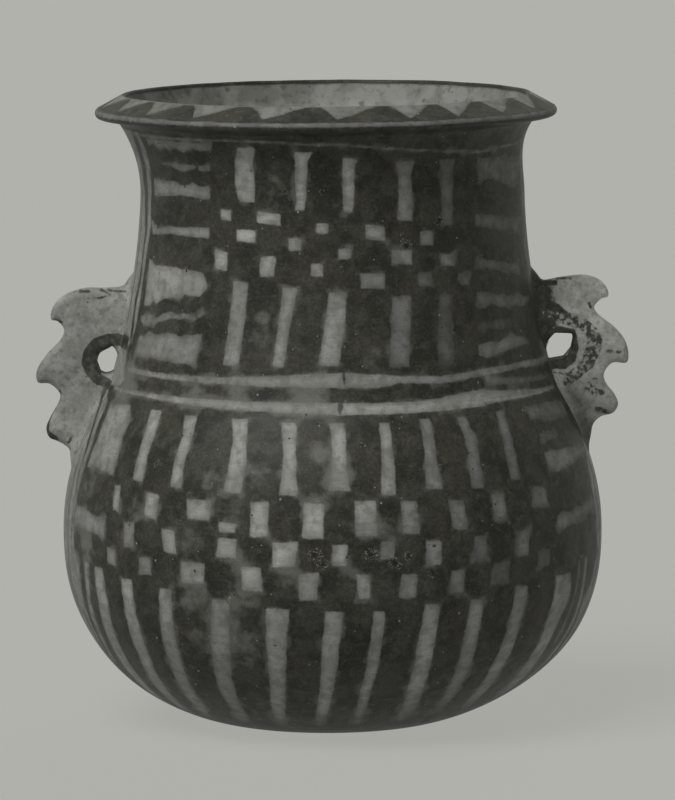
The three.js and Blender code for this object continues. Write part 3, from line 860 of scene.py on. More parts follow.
def rimValleys():
    luck = random.Random(rimPaint["seed"])
    front = rimPaint["valleys"]
    count = rimPaint["valleysBehind"]
    step = (front[0] + 360 - front[-1]) / (count + 1)
    behind = [front[-1] + step * (i + 1) + luck.uniform(-1, 1) * rimPaint["jitter"] for i in range(count)]
    return np.array([*front, *behind, front[0] + 360])


def paintRim(turn, radius, height):
    # as paintWall, for the lip, the bevel and the mouth
    valleys = rimValleys()
    ahead = (turn - valleys[0]) % 360 + valleys[0]
    number = np.clip(np.searchsorted(valleys, ahead, side="right") - 1, 0, len(valleys) - 2)
    share = (ahead - valleys[number]) / (valleys[number + 1] - valleys[number])
    hillShare, hillReach = np.array(rimPaint["hill"]).T
    inwards = rim["lipRadius"] - radius
    depth = inwards - np.interp(share, hillShare, hillReach)
    depth = np.where(depth < 0, rimPaint["hillSharpness"], 1) * depth
    lipCentre = throatHeight + rim["lipRise"]
    onLip = (inwards < rim["lipRound"]) & (height < lipCentre + rim["lipRound"])
    rubbed = rimPaint["lipLight"] - np.hypot(inwards, lipCentre + rimPaint["lipLine"] - height)
    depth = np.where(height < lipCentre, painting["dark"], depth)
    depth = np.where(onLip, rubbed, depth)
    return depth, np.where(onLip, *rimPaint["tones"])


# Clay materials

def vectors(tree, operation, first, second, output="Vector"):
    inputs = {0: first, 1: second}
    return addNode(tree, "ShaderNodeVectorMath", inputs, operation=operation).outputs[output]


def newClay(name, patterns):
    # a material, its places in mm and its noises by name
    material, tree = newMaterial(name)
    place = addNode(tree, "ShaderNodeTexCoord").outputs["Object"]
    place = vectors(tree, "MULTIPLY", place, (1 / mm,) * 3)
    return material, tree, place, {key: noise(tree, place, *numbers) for key, numbers in patterns.items()}


def noise(tree, place, size, detail, shift=0, drawn=(1, 1, 1)):
    # cloudy noise whose lumps are `size` mm across, drawn out along the axes by `drawn`
    place = vectors(tree, "ADD", place, (shift,) * 3)
    place = vectors(tree, "MULTIPLY", place, tuple(1 / (size * share) for share in drawn))
    return addNode(tree, "ShaderNodeTexNoise", {"Vector": place, "Scale": 1, "Detail": detail}).outputs[0]


def swung(tree, value, reach):
    # a noise turned into one that swings by `reach` to either side
    return times(tree, maths(tree, "SUBTRACT", value, 0.5), 2 * reach)


def blend(tree, share, first, second):
    inputs = {0: share, 6: first if not isinstance(first, tuple) else (*first, 1),
              7: second if not isinstance(second, tuple) else (*second, 1)}
    return addNode(tree, "ShaderNodeMix", inputs, data_type="RGBA").outputs[2]


def mixedValue(tree, share, low, high):
    return addNode(tree, "ShaderNodeMix", {0: share, 2: low, 3: high}, data_type="FLOAT").outputs[0]


def layered(tree, colour, pattern, colours, layers):
    # lays a colour over another where a pattern rises from one value to a second, up to a share of it
    for name, low, high, most, over in layers:
        colour = blend(tree, easedRange(tree, pattern[name], low, high, 0, most), colour, colours[over])
    return colour


def flecks(tree, place, kinds):
    # scattered round specks: 1 inside a speck, 0 outside
    seen = 0
    for spacing, size, share, shift in kinds:
        moved = vectors(tree, "ADD", place, (shift, 2 * shift, 0))
        cells = addNode(tree, "ShaderNodeTexVoronoi", {"Vector": moved, "Scale": 1 / spacing}).outputs
        chosen = addNode(tree, "ShaderNodeSeparateColor", {0: cells["Color"]}).outputs[0]
        grown = times(tree, maths(tree, "LESS_THAN", chosen, share), size / spacing)
        inside = maths(tree, "SUBTRACT", grown, cells["Distance"])
        speck = easedRange(tree, inside, 0, slip["fleckEdge"] * size / spacing)
        seen = maths(tree, "MAXIMUM", seen, speck)
    return seen


def attribute(tree, name):
    return addNode(tree, "ShaderNodeAttribute", attribute_name=name).outputs["Fac"]


def toned(tree, colour, value):
    return addNode(tree, "ShaderNodeHueSaturation", {"Color": colour, "Value": value}).outputs[0]


def finishClay(tree, colour, roughness, height):
    bump = {"Strength": slip["bump"], "Distance": mm, "Height": height}
    normal = addNode(tree, "ShaderNodeBump", bump).outputs[0]
    coat = {"Base Color": colour, "Roughness": roughness, "Normal": normal,
            "Specular IOR Level": slip["sheen"]}
    surface = addNode(tree, "ShaderNodeBsdfPrincipled", coat).outputs[0]
    addNode(tree, "ShaderNodeOutputMaterial", {"Surface": surface})


slip = {
    "colours": {  # in linear light
        "light": (0.3, 0.305, 0.272),
        "lightWorn": (0.17, 0.174, 0.152),
        "lightFresh": (0.43, 0.435, 0.4),
        "wash": (0.17, 0.172, 0.15),
        "dark": (0.03, 0.031, 0.023),
        "darkThin": (0.075, 0.076, 0.06),
        "darkBrown": (0.054, 0.05, 0.038),
        "deep": (0.014, 0.014, 0.01),
        "grey": (0.135, 0.137, 0.116),
        "haze": (0.23, 0.23, 0.205),
        "chip": (0.34, 0.34, 0.31),
        "pit": (0.013, 0.013, 0.01),
        "clay": (0.24, 0.243, 0.213),     # the unpainted clay behind the lip and down the throat
        "pale": (0.37, 0.373, 0.337),
        "sooty": (0.12, 0.121, 0.103),
    },
    "patterns": {  # mm across a lump, detail, shift, and how far it is drawn out along the axes
        "wander": (4.5, 3),
        "bristle": (0.9, 2, 0, (2.5, 2.5, 1)),
        "streak": (1.3, 3, 0, (8, 8, 1)),
        "cloud": (13, 4),
        "lump": (4.5, 5, 7),
        "fine": (0.7, 3),
        "stain": (17, 3, 19),
        "pool": (9, 3, 61),
        "grain": (1.3, 3, 51),
        "drift": (8, 5, 23),
        "rub": (5, 6, 3),
        "ragged": (1.6, 3),
        "shards": (0.75, 2, 37),
        "burnish": (3, 2),
        "swell": (12, 2, 0, (1, 1, 0.5)),
    },
    # each layer: its pattern, the two values between which it comes in, its greatest share, its colour
    "lightLayers": [("cloud", 0.44, 0.62, 0.7, "lightFresh"), ("lump", 0.44, 0.66, 0.55, "lightWorn"),
                    ("streak", 0.52, 0.78, 0.4, "lightWorn"), ("fine", 0.54, 0.7, 0.6, "lightWorn")],
    "darkLayers": [("cloud", 0.42, 0.6, 0.55, "darkThin"), ("stain", 0.48, 0.6, 0.65, "darkBrown"),
                   ("lump", 0.5, 0.66, 0.6, "darkThin"), ("pool", 0.5, 0.64, 0.5, "deep"),
                   ("streak", 0.55, 0.8, 0.5, "darkThin"), ("fine", 0.56, 0.74, 0.4, "grey")],
    "bareLayers": [("cloud", 0.4, 0.62, 1, "pale"), ("lump", 0.5, 0.74, 0.8, "sooty"),
                   ("fine", 0.55, 0.75, 0.4, "sooty")],
    "wobble": 0.75,                 # mm that the brush's edge wanders
    "bristle": 0.22,                # mm of the finer ragged edge
    "edge": 0.5,                    # mm over which one slip fades into the other
    "core": (0.8, 1.08),            # strength of a mark at its edge and in its middle
    "coreReach": 2.6,
    "grain": (0.3, 0.7, 0.78, 1.22),    # how much the grain varies the dark slip
    "washDrift": (0.585, 11),       # where the wash drifts out of the marks, and how many mm
    "washWorn": 3.5,                # mm that it reaches further where the slip is worn, and less far under the lip's painted shade
    "washEdge": (-2.2, 0.8, 0, 0.75),
    "washFine": (0.36, 0.56, 0.65, 1),
    "rub": 1.4,                     # how unevenly the worn places are rubbed
    "rubbed": (1.05, 1.75, 0, 0.85),
    "haze": (1.15, 1.9, 0, 0.6),
    "hazeFine": (0.4, 0.6, 0.4, 1),
    # mm between specks and across one, share of the places that have one, and shift
    "chips": [(9, 0.6, 0.5, 0), (4, 0.36, 0.3, 43)],
    "pits": [(6, 0.5, 0.4, 31)],
    "fleckEdge": 0.3,               # share of a speck over which it fades
    "chipShare": 0.8,
    "pitShare": 0.85,
    "shards": (0.54, 0.64, 0, 0.6),
    "roughness": (0.44, 0.58),      # of the dark and the light slip
    "burnish": 0.12,                # how much the roughness varies
    "depths": (0.4, 0.05, 0.03, -0.4),    # mm of the swells, the grain, the light slip and the pits
    "bump": 0.6,
    "sheen": 0.22,
}

scarring = {
    "scars": [  # degrees round, mm along, mm across: chips and pits that can be told one by one
        (33, 282, 2.4), (22, 272, 2.6), (-47, 259, 1.6), (21, 276.5, 1.5), (-3, 296, 1.4), (24, 309, 1.6),
        (-12.7, 93, 1.6), (-27.6, 83, 1.4), (-29.8, 126, 1.7), (13, 131, 3.4), (16, 134, 2.4),
        (21.6, 138, 2.2), (21.2, 126, 2.2), (-3.5, 135, 3.4), (-2, 131, 2.6), (8, 135, 3),
        (-22.6, 113, 1.5), (-14, 296, 1.3), (-43, 172, 1.6), (-35.5, 187, 1.2), (7, 184, 1.4),
        (25, 173, 1.3),
    ],
    "ragged": 1.1,             # mm that a scar's edge wanders
    "pit": (0.25, 0.6),        # share of a scar's size over which its pit fades out
    "chip": (0.88, 1.21),      # the same for the chips round it
}


def scarsAt(tree, place, ragged):
    # how much of each place is pitted by a scar, and how much is its chipped rim
    found = {"pit": 0, "chip": 0}
    for turn, at, size in scarring["scars"]:
        radius, height = (np.interp(at, along, outer[:, axis]) for axis in (0, 1))
        middle = (radius * math.sin(math.radians(turn)), -radius * math.cos(math.radians(turn)), height)
        gap = plus(tree, vectors(tree, "DISTANCE", place, middle, "Value"), ragged)
        for kind in found:
            low, high = (share * size for share in scarring[kind])
            found[kind] = maths(tree, "MAXIMUM", found[kind], easedRange(tree, gap, low, high, 1, 0))
    return found["pit"], found["chip"]


def paintedClay(name):
    material, tree, place, pattern = newClay(name, slip["patterns"])
    colours = slip["colours"]
    wander = plus(tree, swung(tree, pattern["wander"], slip["wobble"]),
                  swung(tree, pattern["bristle"], slip["bristle"]))
    depth = plus(tree, attribute(tree, "paint"), wander)
    isLight = easedRange(tree, depth, -slip["edge"], slip["edge"])
    # wear, and below zero the painted shade under the lip
    wearAndShade = attribute(tree, "wearAndShade")

    light = layered(tree, colours["light"], pattern, colours, slip["lightLayers"])
    core = easedRange(tree, depth, 0, slip["coreReach"], *slip["core"])
    light = toned(tree, light, times(tree, attribute(tree, "tone"), core))

    dark = layered(tree, colours["dark"], pattern, colours, slip["darkLayers"])
    dark = toned(tree, dark, easedRange(tree, pattern["grain"], *slip["grain"]))
    calm, drift = slip["washDrift"]
    spread = times(tree, maths(tree, "SUBTRACT", pattern["drift"], calm), drift)
    spread = plus(tree, spread, times(tree, wearAndShade, slip["washWorn"]))
    wash = times(tree, easedRange(tree, plus(tree, depth, spread), *slip["washEdge"]),
                 easedRange(tree, pattern["fine"], *slip["washFine"]))
    dark = blend(tree, wash, dark, colours["wash"])
    thin = plus(tree, wearAndShade, times(tree, pattern["rub"], slip["rub"]))
    dark = blend(tree, easedRange(tree, thin, *slip["rubbed"]), dark, colours["grey"])

    colour = blend(tree, isLight, dark, light)
    haze = times(tree, easedRange(tree, thin, *slip["haze"]),
                 easedRange(tree, pattern["fine"], *slip["hazeFine"]))
    colour = blend(tree, haze, colour, colours["haze"])
    bare = layered(tree, colours["clay"], pattern, colours, slip["bareLayers"])
    colour = blend(tree, attribute(tree, "inside"), colour, bare)

    pitted, chipped = scarsAt(tree, place, swung(tree, pattern["ragged"], scarring["ragged"]))
    pits = maths(tree, "MAXIMUM", flecks(tree, place, slip["pits"]), pitted)
    shards = times(tree, chipped, easedRange(tree, pattern["shards"], *slip["shards"]))
    chips = times(tree, flecks(tree, place, slip["chips"]), slip["chipShare"])
    colour = blend(tree, maths(tree, "MAXIMUM", chips, shards), colour, colours["chip"])
    colour = blend(tree, times(tree, pits, slip["pitShare"]), colour, colours["pit"])

    roughness = plus(tree, mixedValue(tree, isLight, *slip["roughness"]),
                     times(tree, pattern["burnish"], slip["burnish"]))
    layers = zip((pattern["swell"], pattern["fine"], isLight, pits), slip["depths"])
    finishClay(tree, colour, roughness, plus(tree, *(times(tree, layer, deep) for layer, deep in layers)))
    return material


wallTree = turningTree()
paintedSlip = paintedClay("painted_slip")


lugLook = {
    "colours": {  # in linear light
        "clay": (0.34, 0.345, 0.31),
        "pale": (0.46, 0.465, 0.425),
        "dull": (0.2, 0.204, 0.176),
        "dark": (0.035, 0.036, 0.028),
        "darkThin": (0.085, 0.083, 0.066),
        "chip": (0.34, 0.34, 0.31),
    },
    "patterns": {  # as for the slip
        "wander": (2.5, 4),
        "cloud": (9, 4),
        "lump": (3, 4, 5),
        "fine": (0.7, 3),
        "blotch": (2.2, 4, 13),
        "grain": (1.6, 4, 29),
        "swell": (6, 3),
    },
    "clayLayers": [("cloud", 0.44, 0.62, 1, "pale"), ("lump", 0.48, 0.74, 0.75, "dull"),
                   ("fine", 0.56, 0.74, 0.5, "dull")],
    "darkLayers": [("lump", 0.4, 0.62, 1, "darkThin")],
    "wobble": 0.75,
    "edge": 0.35,
    "blotches": (0.4, 0.56, 0.15, 1),    # where the rubbed dark slip has stayed
    "stayed": (0.95, 0.92),              # share of the dark slip that is left, and where it is rubbed
    "clayGrain": (0.3, 0.7, 0.9, 1.1),
    "darkGrain": (0.3, 0.7, 0.7, 1.3),
    "pits": [(4.5, 0.5, 0.3, 3)],
    "pitShare": 0.7,
    "chips": [(7, 0.5, 0.3, 17)],
    "chipShare": 0.5,
    "roughness": 0.66,
    "depths": (0.5, 0.25, -0.3),         # mm of the swells, the lumps and the pits
}


def lugClay(name):
    material, tree, place, pattern = newClay(name, lugLook["patterns"])
    colours = lugLook["colours"]
    depth = plus(tree, attribute(tree, "paint"), swung(tree, pattern["wander"], lugLook["wobble"]))
    isDark = easedRange(tree, depth, -lugLook["edge"], lugLook["edge"])
    whole, rubbed = lugLook["stayed"]
    rubbed = times(tree, easedRange(tree, pattern["blotch"], *lugLook["blotches"]), rubbed)
    kept = mixedValue(tree, attribute(tree, "wearAndShade"), whole, rubbed)
    grain = easedRange(tree, pattern["grain"], *lugLook["clayGrain"])
    colour = layered(tree, colours["clay"], pattern, colours, lugLook["clayLayers"])
    colour = toned(tree, colour, times(tree, attribute(tree, "tone"), grain))
    dark = layered(tree, colours["dark"], pattern, colours, lugLook["darkLayers"])
    dark = toned(tree, dark, easedRange(tree, pattern["grain"], *lugLook["darkGrain"]))
    colour = blend(tree, times(tree, isDark, kept), colour, dark)
    pits, chips = (flecks(tree, place, lugLook[kind]) for kind in ("pits", "chips"))
    colour = blend(tree, times(tree, pits, lugLook["pitShare"]), colour, colours["dark"])
    colour = blend(tree, times(tree, chips, lugLook["chipShare"]), colour, colours["chip"])
    layers = zip((pattern["swell"], pattern["lump"], pits), lugLook["depths"])
    height = plus(tree, *(times(tree, layer, deep) for layer, deep in layers))
    finishClay(tree, colour, lugLook["roughness"], height)
    return material


lugSlip = lugClay("lug_slip")


def addPiece(piece, node):
    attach(piece, "root")
    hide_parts(node)


def paintPiece(piece, section):
    # writes the painter's marks, the wear with the painted shade under the lip, and the bare inside onto
    # the points of a turned wall
    shape = piece.data
    turn = turnBetween(np.degrees(readAttribute(shape, "turn")), 0)
    behind, beside = turning["closing"]
    turn[(vertexPlaces(shape)[:, 1] > behind) & (np.abs(turn) < beside)] = 180
    row = np.round(readAttribute(shape, "row")).astype(int)
    radius, height = section[row].T
    places = (turn, alongAt(height), radius)
    painted = radius > outerRadius(height) - painting["skin"]
    onRim = height > throatHeight - mesh["near"]
    bare = ~painted
    depth = np.full(len(turn), painting["bare"])
    tone = np.ones(len(turn))
    wearAndShade = np.zeros(len(turn))
    depth[painted], tone[painted] = paintWall(*(values[painted] for values in places))
    wearAndShade[painted] = wornAt(*(values[painted] for values in places))
    depth[onRim], tone[onRim] = paintRim(turn[onRim], radius[onRim], height[onRim])
    most, *fading = rimPaint["wearAndShade"]
    wearAndShade[onRim] = most * (1 - eased(mirrored(turn[onRim]), *fading))
    # painted shade: under the lip the slip is made darker than its wear leaves it
    wearAndShade[onRim & (height < throatHeight + rim["lipRise"])] -= rimPaint["shade"]
    bare[onRim] = radius[onRim] < rim["ridgeRadius"] + rim["ridgeRound"] / 2
    farLine = (np.abs(turn) > rimPaint["farTurn"]) & (radius < rim["ridgeRadius"] + rimPaint["farLine"])
    farLine &= height > throatHeight + rim["ridgeRise"] - rimPaint["farLine"]
    depth[farLine], bare[farLine] = painting["dark"], False
    for name, values in (("paint", depth), ("tone", tone), ("wearAndShade", wearAndShade), ("inside", bare)):
        writeAttribute(shape, name, values)


sections = {
    "base": baseSection(),
    "lower_wall": wallSection(seams["lower_wall"], seams["shoulder"]),
    "shoulder": wallSection(seams["shoulder"], seams["neck"]),
    "neck": wallSection(seams["neck"], seams["rim"]),
    "rim": rimSection(),
}
for node, section in sections.items():
    isRim = node == "rim"
    piece = turnedWall("clay_" + node, section, paintedSlip, turning["lipWave"] if isRim else 0)
    addPiece(piece, node)
    paintPiece(piece, section)
print("walls and rim turned and painted")


# Lugs: a flat strip of clay bent round a cord hole, with a notched crest, luted to the wall

lugForm = {  # mm
    "thickness": 13,
    "crestThickness": 9,
    "crestReach": 15,        # how far in from the crest the strip is thinner
    "edgeRound": 3.1,
    "holeRound": 2.4,
    "rootFlare": 3,
    "rootFlareReach": 15,
    "fillet": 5,             # clay smeared between the strip and the wall
    "sunk": 0.3,             # how deep the smear's edge lies under the wall's surface
    "rooted": 2.1,           # how deep the lug reaches into the wall
    "smearReach": 7,
    "hiddenRound": 1.2,      # rounding of the edges that lie inside the wall
    "grain": 0.65,           # size of one cell of the clay
    "unevenness": 0.35,
    "broadWave": (0.31, 0.17, 0.23, -0.2),    # how fast the unevenness waves, in radians to a mm
    "fineWave": (0.71, -0.53, 0.4),
    "merged": 0.06,          # points of the skin this near each other become one
    "smearSoftness": 0.3,    # how softly a smear of dark slip ends
    "shade": 0.6,            # how much of the clay's tone a shade takes away
    "shadeEdge": 4,
    "inwards": -12,          # from the wall to where the measured room starts
    "margin": 3,
    "endMargin": 8,          # the same margin above and below
}

lugs = {  # places are mm outwards from the wall and up from the middle of the cord hole
    "lug_left": {
        "side": -1,
        "holeRise": 10.4,    # above the crease
        "hole": [
            (1.7, 6.5), (0.3, 5.2), (-0.6, 3.4), (-1, 0.2), (-0.6, -2.5), (0.3, -4.7), (2.6, -6.1),
            (4.8, -6.5), (7.1, -5.6), (8, -2.9), (8.7, -1.1), (8, 1.6), (7.1, 3.4), (4.8, 4.7), (3, 5.6),
        ],
        "marks": [
            [(-5.1, 9.2, 5), (-1, 9.7, 5.6), (3.5, 9.2, 6), (8.4, 7, 6.2), (11.6, 3.4, 6.3),
             (12.3, -0.7, 6.3), (11.1, -4.3, 6), (8.4, -7.9, 5.2), (4.8, -9.7, 4.8), (1.7, -10.6, 4),
             (-0.1, -11.9, 2.4)],
            [(25.5, -14, 1), (26, -18, 1), (29, -24, 1.2), (31, -29, 1.4), (31, -33, 2.5), (28, -36, 4)],
            [(27, 17.8, 1.6), (24.5, 17, 1)],
            [(2.6, 29.5, 0.5), (7, 28, 0.9), (13, 27.8, 0.6)],
            [(16, 31, 1), (12, 30.8, 1.2)],
            [(6.6, 31.6, 1), (4, 30.3, 1)],
            [(3.5, 31.4, 0.6), (-4.6, 31, 0.9)],
            [(19.6, -34, 0.6), (21.4, -37, 1.4)],
            [(4.8, -12, 1.8), (6.2, -17.8, 1.8), (7.5, -22.3, 1.8), (9.3, -26.8, 1.8),
             (10.7, -31.3, 1.6), (12, -35.8, 1.4), (13.4, -40.3, 1)],
        ],
        "rubbed": [],
        "smears": [],
        "shades": [],
        "tones": [(-40, 0.84), (0, 0.72), (30, 0.94)],
        "crest": [
            (-24, 38), (-6.8, 36.4), (-3, 33), (4.8, 32.2), (14.4, 32), (23.6, 28.7), (28.8, 22.7),
            (29.1, 17.8), (26.6, 17.4), (23.4, 13.6), (24.7, 9.3), (31.6, 1.8), (35.9, -5.8),
            (35.2, -10.4), (30, -11), (25.4, -15.4), (25.6, -18.4), (29.6, -25.9), (31.6, -31),
            (30.2, -35.3), (26, -37.1), (21.2, -40.3), (19.2, -45.8), (8.8, -54), (-24, -54),
        ],
    },
    "lug_right": {
        "side": 1,
        "holeRise": 16.5,
        "hole": [
            (4, 6.3), (11.7, 5.9), (12.2, 3.6), (11.3, -0.9), (8.1, -4.9), (1.4, -6.3), (0, -4.1),
            (0.2, 0), (1.4, 3.6),
        ],
        "marks": [
            # dark slip round the cord hole's top, right and bottom, in part painted shade inside the hole
            [(1.8, 7.2, 3), (6.7, 7.6, 3.4), (11.7, 6.8, 3), (12.6, 3.6, 2.6), (12.9, -1, 3.6),
             (11, -5.2, 4.6), (8, -7.4, 5), (2.5, -7.4, 4.4), (0, -7, 2.5)],
            [(-5, 28, 8), (-4.5, 20, 8), (-3, 12, 8), (-3, 6, 6)],
            [(-3.5, 29, 3), (4, 28.6, 2.2)],
            [(-3, 18, 7), (3, 17, 6.5), (9, 14, 4)],
            [(5, 30.6, 0.8), (11, 30.6, 0.7)],
            [(19.3, 19.5, 1.2), (20, 17.5, 1)],
        ],
        "rubbed": [
            [(0, 15.7, 7), (4.9, 14.9, 6.5), (11.2, 12.1, 5.5), (16.2, 10.4, 5), (20.2, 7.2, 5.5),
             (22.2, 2.7, 6.5), (20.6, -2.7, 7), (18.8, -7.6, 5.5), (15.8, -10.3, 5), (12.2, -13, 5.5),
             (9.5, -15.3, 4)],
            [(27.9, -2.2, 1.8), (33.3, -2.2, 1.6)],
            [(22, -15.5, 3), (19.5, -18, 4), (22, -21, 3.6), (25.5, -20.5, 2.4)],
            [(23, -28, 2.4), (28, -29.5, 1.8)],
            [(3.2, -11, 0.8), (6.8, -11.5, 0.9), (12, -12, 0.9)],
        ],
        "smears": [
            [(-5, 29, 13), (-3.5, 20, 13.5), (-1.5, 13, 14), (-1.5, 6, 9)],
        ],
        "shades": [
            [(10, -17, 3), (15, -26, 8), (18, -36, 9), (20, -46, 9)],
        ],
        # painted light: the right lug's clay is lifted, most towards the top, against the shade that the
        # neck casts on it
        "tones": [(-40, 0.85), (-25, 1.15), (0, 1.4), (28, 1.6)],
        "crest": [
            (-24, 36), (-5.6, 33), (-1.4, 29.6), (5, 30.7), (12, 31.7), (18.4, 31.8), (25, 29.2),
            (28, 24.6), (27.8, 22.1), (25.4, 21.6), (21.7, 17.6), (23.2, 14.6), (31.2, 8.2), (35.8, 2.2),
            (37.3, -4), (36.4, -7.5), (30, -7.6), (26.2, -12.6), (27.2, -16.8), (31, -21.8),
            (32.7, -26.2), (30.4, -30.2), (25.1, -31.8), (21.6, -35), (19.7, -41.8), (12, -52),
            (-24, -52),
        ],
    },
}


def smoothLine(points, steps=6):
    # a smooth line through the points that turns no wider than they do
    points = np.array(points, float)
    padded = np.concatenate([2 * points[:1] - points[1:2], points, 2 * points[-1:] - points[-2:-1]])
    share = np.linspace(0, 1, steps + 1)[:-1, None]
    cubed, squared = share ** 3, share ** 2
    pieces = []
    for before, start, end, after in zip(padded, padded[1:], padded[2:], padded[3:]):
        runs = [math.dist(a, b) ** 0.5 for a, b in ((before, start), (start, end), (end, after))]
        middle = (end - start) / runs[1]
        leaving = (start - before) / runs[0] - (end - before) / (runs[0] + runs[1]) + middle
        arriving = middle - (after - start) / (runs[1] + runs[2]) + (after - end) / runs[2]
        pieces.append((2 * cubed - 3 * squared + 1) * start + (3 * squared - 2 * cubed) * end
                      + (cubed - 2 * squared + share) * leaving * runs[1]
                      + (cubed - squared) * arriving * runs[1])
    return np.concatenate([*pieces, points[-1:]])


def softMin(first, second, reach):
    share = np.clip(0.5 + 0.5 * (second - first) / reach, 0, 1)
    return mixed(second, first, share) - reach * share * (1 - share)


def softMax(first, second, reach):
    return -softMin(-first, -second, reach)


def hollowSkin(field, start, step):
    # points and four-sided faces where a field on a grid changes sign, a face for each crossed edge
    cells = tuple(size - 1 for size in field.shape)
    total, count = np.zeros((*cells, 3)), np.zeros(cells)

    def corner(at):
        return field[tuple(slice(a, a + size) for a, size in zip(at, cells))]

    for near in np.ndindex(2, 2, 2):
        for axis in range(3):
            if near[axis]:
                continue
            far = tuple(value + (index == axis) for index, value in enumerate(near))
            low, high = corner(near), corner(far)
            crossed = (low < 0) != (high < 0)
            share = np.where(crossed, low / np.where(crossed, low - high, 1), 0)
            for index in range(3):
                total[..., index] += crossed * (near[index] + (share if index == axis else 0))
            count += crossed
    active = count > 0
    number = np.full(cells, -1)
    number[active] = np.arange(active.sum())
    places = np.argwhere(active) + total[active] / count[active][:, None]
    faces = []
    for axis, first, second in ((0, 1, 2), (1, 2, 0), (2, 0, 1)):
        low = np.take(field, range(field.shape[axis] - 1), axis) < 0
        high = np.take(field, range(1, field.shape[axis]), axis) < 0
        crossed = np.argwhere(low != high)
        room = (crossed[:, first] > 0) & (crossed[:, second] > 0)
        room &= (crossed[:, first] < cells[first]) & (crossed[:, second] < cells[second])
        crossed = crossed[room]
        leaving = low[tuple(crossed.T)]
        ring = []
        for back, aside in ((1, 1), (0, 1), (0, 0), (1, 0)):
            cell = crossed.copy()
            cell[:, first] -= back
            cell[:, second] -= aside
            ring.append(number[tuple(cell.T)])
        ring = np.stack(ring, axis=1)
        faces.append(np.where(leaving[:, None], ring, ring[:, ::-1]))
    return start + places * step, np.concatenate(faces)


def settle(points, field, start, step, rounds=3, pace=0.8, leastSteep=0.25, most=0.95):
    # moves each point nearly onto the field's zero, along its slope
    found = points
    for _ in range(rounds):
        place = np.clip((points - start) / step, 0, np.array(field.shape) - 1.001)   # in the last cell
        whole = place.astype(int)
        part = place - whole
        value = np.zeros(len(points))
        steepness = np.zeros((len(points), 3))
        for bits in np.ndindex(2, 2, 2):
            corner = field[tuple((whole + bits).T)]
            weights = [part[:, axis] if bit else 1 - part[:, axis] for axis, bit in enumerate(bits)]
            value += corner * weights[0] * weights[1] * weights[2]
            for axis, bit in enumerate(bits):
                rest = [weights[other] for other in range(3) if other != axis]
                steepness[:, axis] += corner * (1 if bit else -1) * rest[0] * rest[1] / step
        steep = np.maximum((steepness ** 2).sum(axis=1), leastSteep)
        points = points - steepness * (np.clip(value, -step, step) / steep)[:, None] * pace
    return mixed(found, points, most)


def lugStart(form):
    return lineAt(outer, creaseHeight + form["holeRise"])


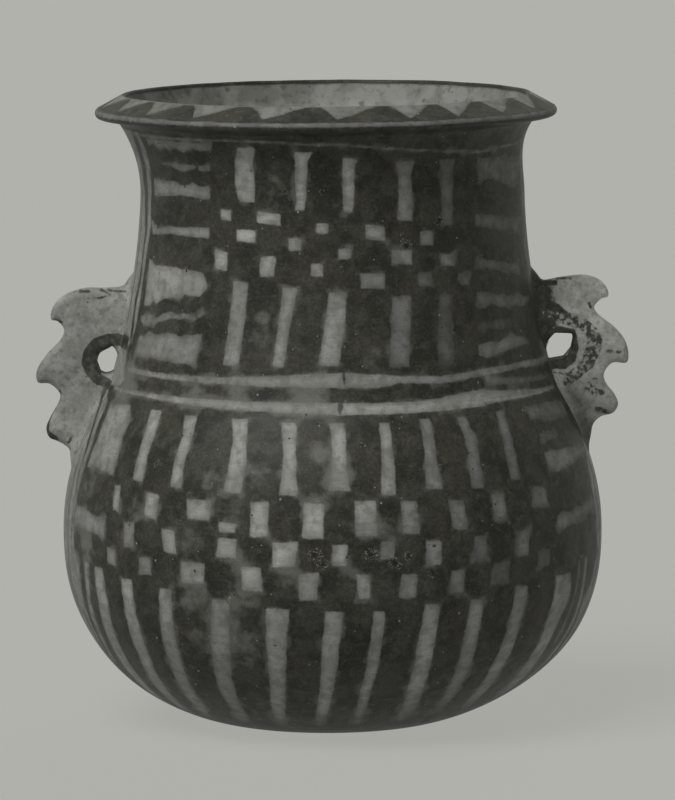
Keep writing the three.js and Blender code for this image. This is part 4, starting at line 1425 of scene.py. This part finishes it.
def lugField(form):
    # signed mm to the lug's surface, smeared onto the wall, on a grid of out, along y and up
    startRadius, startHeight = lugStart(form)
    crest = smoothLine(form["crest"])
    step, edge = lugForm["grain"], lugForm["edgeRound"]
    outs = np.arange(lugForm["inwards"], crest[:, 0].max() + lugForm["margin"], step)
    ups = np.arange(crest[:, 1].min() - lugForm["endMargin"],
                    crest[:, 1].max() + lugForm["endMargin"], step)
    halfDepth = lugForm["thickness"] / 2
    halfDepth += lugForm["rootFlare"] + lugForm["smearReach"] + lugForm["margin"]
    sides = np.arange(-halfDepth, halfDepth + step, step)
    flatOut, flatUp = np.meshgrid(outs, ups, indexing="ij")
    inCrest = insideLine(crest, flatOut, flatUp)
    inHole = insideLine(np.array(form["hole"]), flatOut, flatUp)
    clear = (startRadius + flatOut - outerRadius(startHeight + flatUp)) / lugForm["rootFlareReach"]
    deeper = eased(inCrest, 0, lugForm["crestReach"])
    half = mixed(lugForm["crestThickness"], lugForm["thickness"], deeper) / 2
    half = half + lugForm["rootFlare"] * (1 - np.clip(clear, 0, 1)) ** 2
    out, side, up = np.meshgrid(outs, sides, ups, indexing="ij")
    outWave, upWave, upSlow, sideSlow = lugForm["broadWave"]
    broad = np.sin(out * outWave + up * upWave) * np.cos(up * upSlow + side * sideSlow)
    outFine, upFine, sideFine = lugForm["fineWave"]
    fine = np.sin(out * outFine + up * upFine + side * sideFine)
    wobble = lugForm["unevenness"] * (broad + 0.5 * fine)
    over = edge - inCrest[:, None, :]
    deep = np.abs(side) - (half[:, None, :] - edge) + 0.5 * wobble
    strip = np.hypot(np.maximum(over, 0), np.maximum(deep, 0)) - edge
    strip = strip + np.minimum(np.maximum(over, deep), 0)
    height = startHeight + up
    lean = np.interp(height, outer[:, 1], outwards[:, 0])
    wall = (np.hypot(startRadius + out, side) - outerRadius(height)) * lean
    smeared = softMin(strip, wall + lugForm["sunk"], lugForm["fillet"])
    pierced = softMax(smeared, inHole[:, None, :] + 0 * side, lugForm["holeRound"])
    rooted = softMax(pierced, -wall - lugForm["rooted"], lugForm["hiddenRound"])
    ended = softMax(rooted, strip - lugForm["smearReach"], lugForm["hiddenRound"])
    return ended, np.array([outs[0], sides[0], ups[0]]), step


def marksDepth(marks, out, up):
    # mm inside the nearest dark mark of the brush, negative outside them all
    depth = np.full(len(out), painting["nowhere"])
    for mark in marks:
        for start, end in zip(mark, mark[1:]):
            share, gap = runGap(start[:2], end[:2], out, up)
            depth = np.maximum(depth, mixed(start[2], end[2], share) / 2 - gap)
    return depth


def makeLug(node, form, clay):
    field, start, step = lugField(form)
    points, faces = hollowSkin(field, start, step)
    points = settle(points, field, start, step)
    startRadius, startHeight = lugStart(form)
    side = form["side"]
    places = np.c_[side * (startRadius + points[:, 0]), side * points[:, 1], startHeight + points[:, 2]]
    shape = bpy.data.meshes.new("clay_" + node)
    shape.from_pydata(places * mm, [], faces.tolist())
    loose = bmesh.new()
    loose.from_mesh(shape)
    bmesh.ops.remove_doubles(loose, verts=loose.verts, dist=lugForm["merged"] * mm)
    loose.to_mesh(shape)
    loose.free()
    shape.materials.append(clay)
    shape.shade_smooth()
    addPiece(addObject("clay_" + node, shape), node)
    # the wall's own marks run on over the smear that joins the lug to it
    across, _, height = vertexPlaces(shape).T
    out, up = side * across - startRadius, height - startHeight
    sine = side * across / outerRadius(height)
    turn = side * np.degrees(np.arcsin(np.minimum(sine, 1)))
    wallDepth, _ = paintWall(turn, alongAt(height), outerRadius(height))
    painted = marksDepth(form["marks"], out, up)
    painted = np.maximum(painted, np.where(sine < 1, -wallDepth, painting["nowhere"]))
    painted = np.maximum(painted, marksDepth(form["smears"], out, up) * lugForm["smearSoftness"])
    rubbed = marksDepth(form["rubbed"], out, up)
    # painted shade near the wall from the shades; the tones give the clay's strength by height, and on the
    # right lug they are painted light
    shade = eased(marksDepth(form["shades"], out, up), -lugForm["shadeEdge"], lugForm["shadeEdge"])
    tone = (1 - lugForm["shade"] * shade) * np.interp(up, *np.array(form["tones"]).T)
    writeAttribute(shape, "paint", np.maximum(painted, rubbed))
    writeAttribute(shape, "wearAndShade", rubbed > painted)
    writeAttribute(shape, "tone", tone)


for node, form in lugs.items():
    makeLug(node, form, lugSlip)
print("lugs shaped")
